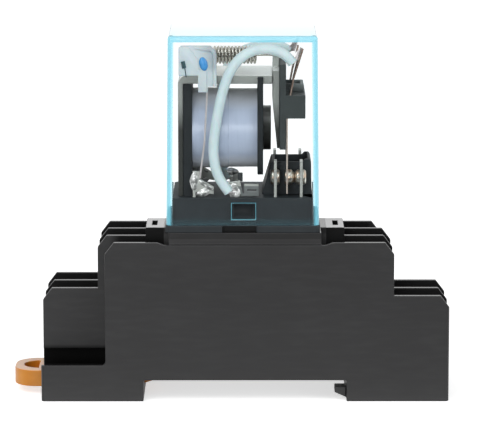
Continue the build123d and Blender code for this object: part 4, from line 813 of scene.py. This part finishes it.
roof = [compare(tree, across.outputs["Z"], ROOF_LOW * MM), compare(tree, facing.outputs["Z"], 0.85, "LESS_THAN")]
hole = []
for axis, middle, half in zip("XZ", WINDOW_AT, WINDOW_HALF):
    off = add(tree, "ShaderNodeMath", {0: across.outputs[axis], 1: middle * MM}, operation="SUBTRACT")
    off = add(tree, "ShaderNodeMath", {0: off.outputs[0]}, operation="ABSOLUTE")
    hole.append(compare(tree, off.outputs[0], half * MM, "LESS_THAN"))
line = add(tree, "ShaderNodeMath", {0: outer[0], 1: outer[1]}, operation="MULTIPLY")
edge = compare(tree, across.outputs["Z"], (ROOF_TOP - RIM_LINE) * MM)
line = add(tree, "ShaderNodeMath", {0: line.outputs[0], 1: edge}, operation="MAXIMUM")
# Painted glow: where the matt cyan band is drawn over the clear wall.
rim = 0.0
for pair, share in ((corner, 1.0), (roof, 1.0), (hole, WINDOW_GLOW)):
    both = add(tree, "ShaderNodeMath", {0: pair[0], 1: pair[1]}, operation="MULTIPLY")
    both = add(tree, "ShaderNodeMath", {0: both.outputs[0], 1: share}, operation="MULTIPLY")
    rim = add(tree, "ShaderNodeMath", {0: both.outputs[0], 1: rim}, operation="MAXIMUM").outputs[0]
foot = add(tree, "ShaderNodeMapRange", {"Value": across.outputs["Z"], "From Min": COVER_AT[2] * MM,
                                        "From Max": (COVER_AT[2] + 1.5) * MM, "To Min": FOOT_GLOW, "To Max": 0.0})
rim = add(tree, "ShaderNodeMath", {0: foot.outputs[0], 1: rim}, operation="MAXIMUM").outputs[0]
inside = add(tree, "ShaderNodeNewGeometry").outputs["Backfacing"]
rim = add(tree, "ShaderNodeMix", {"Factor": inside, "A": add(
    tree, "ShaderNodeMath", {0: rim, 1: 0.8}, operation="MULTIPLY").outputs[0], "B": 0.0})
through = add(tree, "ShaderNodeBsdfTransparent", {"Color": (1, 1, 1, 1)})
ray = add(tree, "ShaderNodeMix", {"Factor": line.outputs[0], "A": linear("#84D6EB"),
                                  "B": linear("#6FAFC0")}, data_type="RGBA")
glowing = add(tree, "ShaderNodeBsdfDiffuse", {"Color": ray.outputs[2]})
wall = add(tree, "ShaderNodeMixShader", {0: rim.outputs[0], 1: through.outputs[0], 2: glowing.outputs[0]})
gloss = add(tree, "ShaderNodeBsdfGlossy", {"Color": (1, 1, 1, 1), "Roughness": polish.outputs[0]})
bounce = add(tree, "ShaderNodeFresnel", {"IOR": 1.5})
facade = add(tree, "ShaderNodeMix", {"Factor": inside, "A": bounce.outputs[0], "B": 0.0})
mixed = add(tree, "ShaderNodeMixShader", {0: facade.outputs[0], 1: wall.outputs[0], 2: gloss.outputs[0]})
tint = add(tree, "ShaderNodeVolumeAbsorption", {"Color": (0.0, 0.79, 0.944, 1), "Density": 22.0})
add(tree, "ShaderNodeOutputMaterial", {"Surface": mixed.outputs[0], "Volume": tint.outputs[0]})
dress(eased("relay_cover", "dust_cover", 0.15 * MM, 3), clear, "relay")
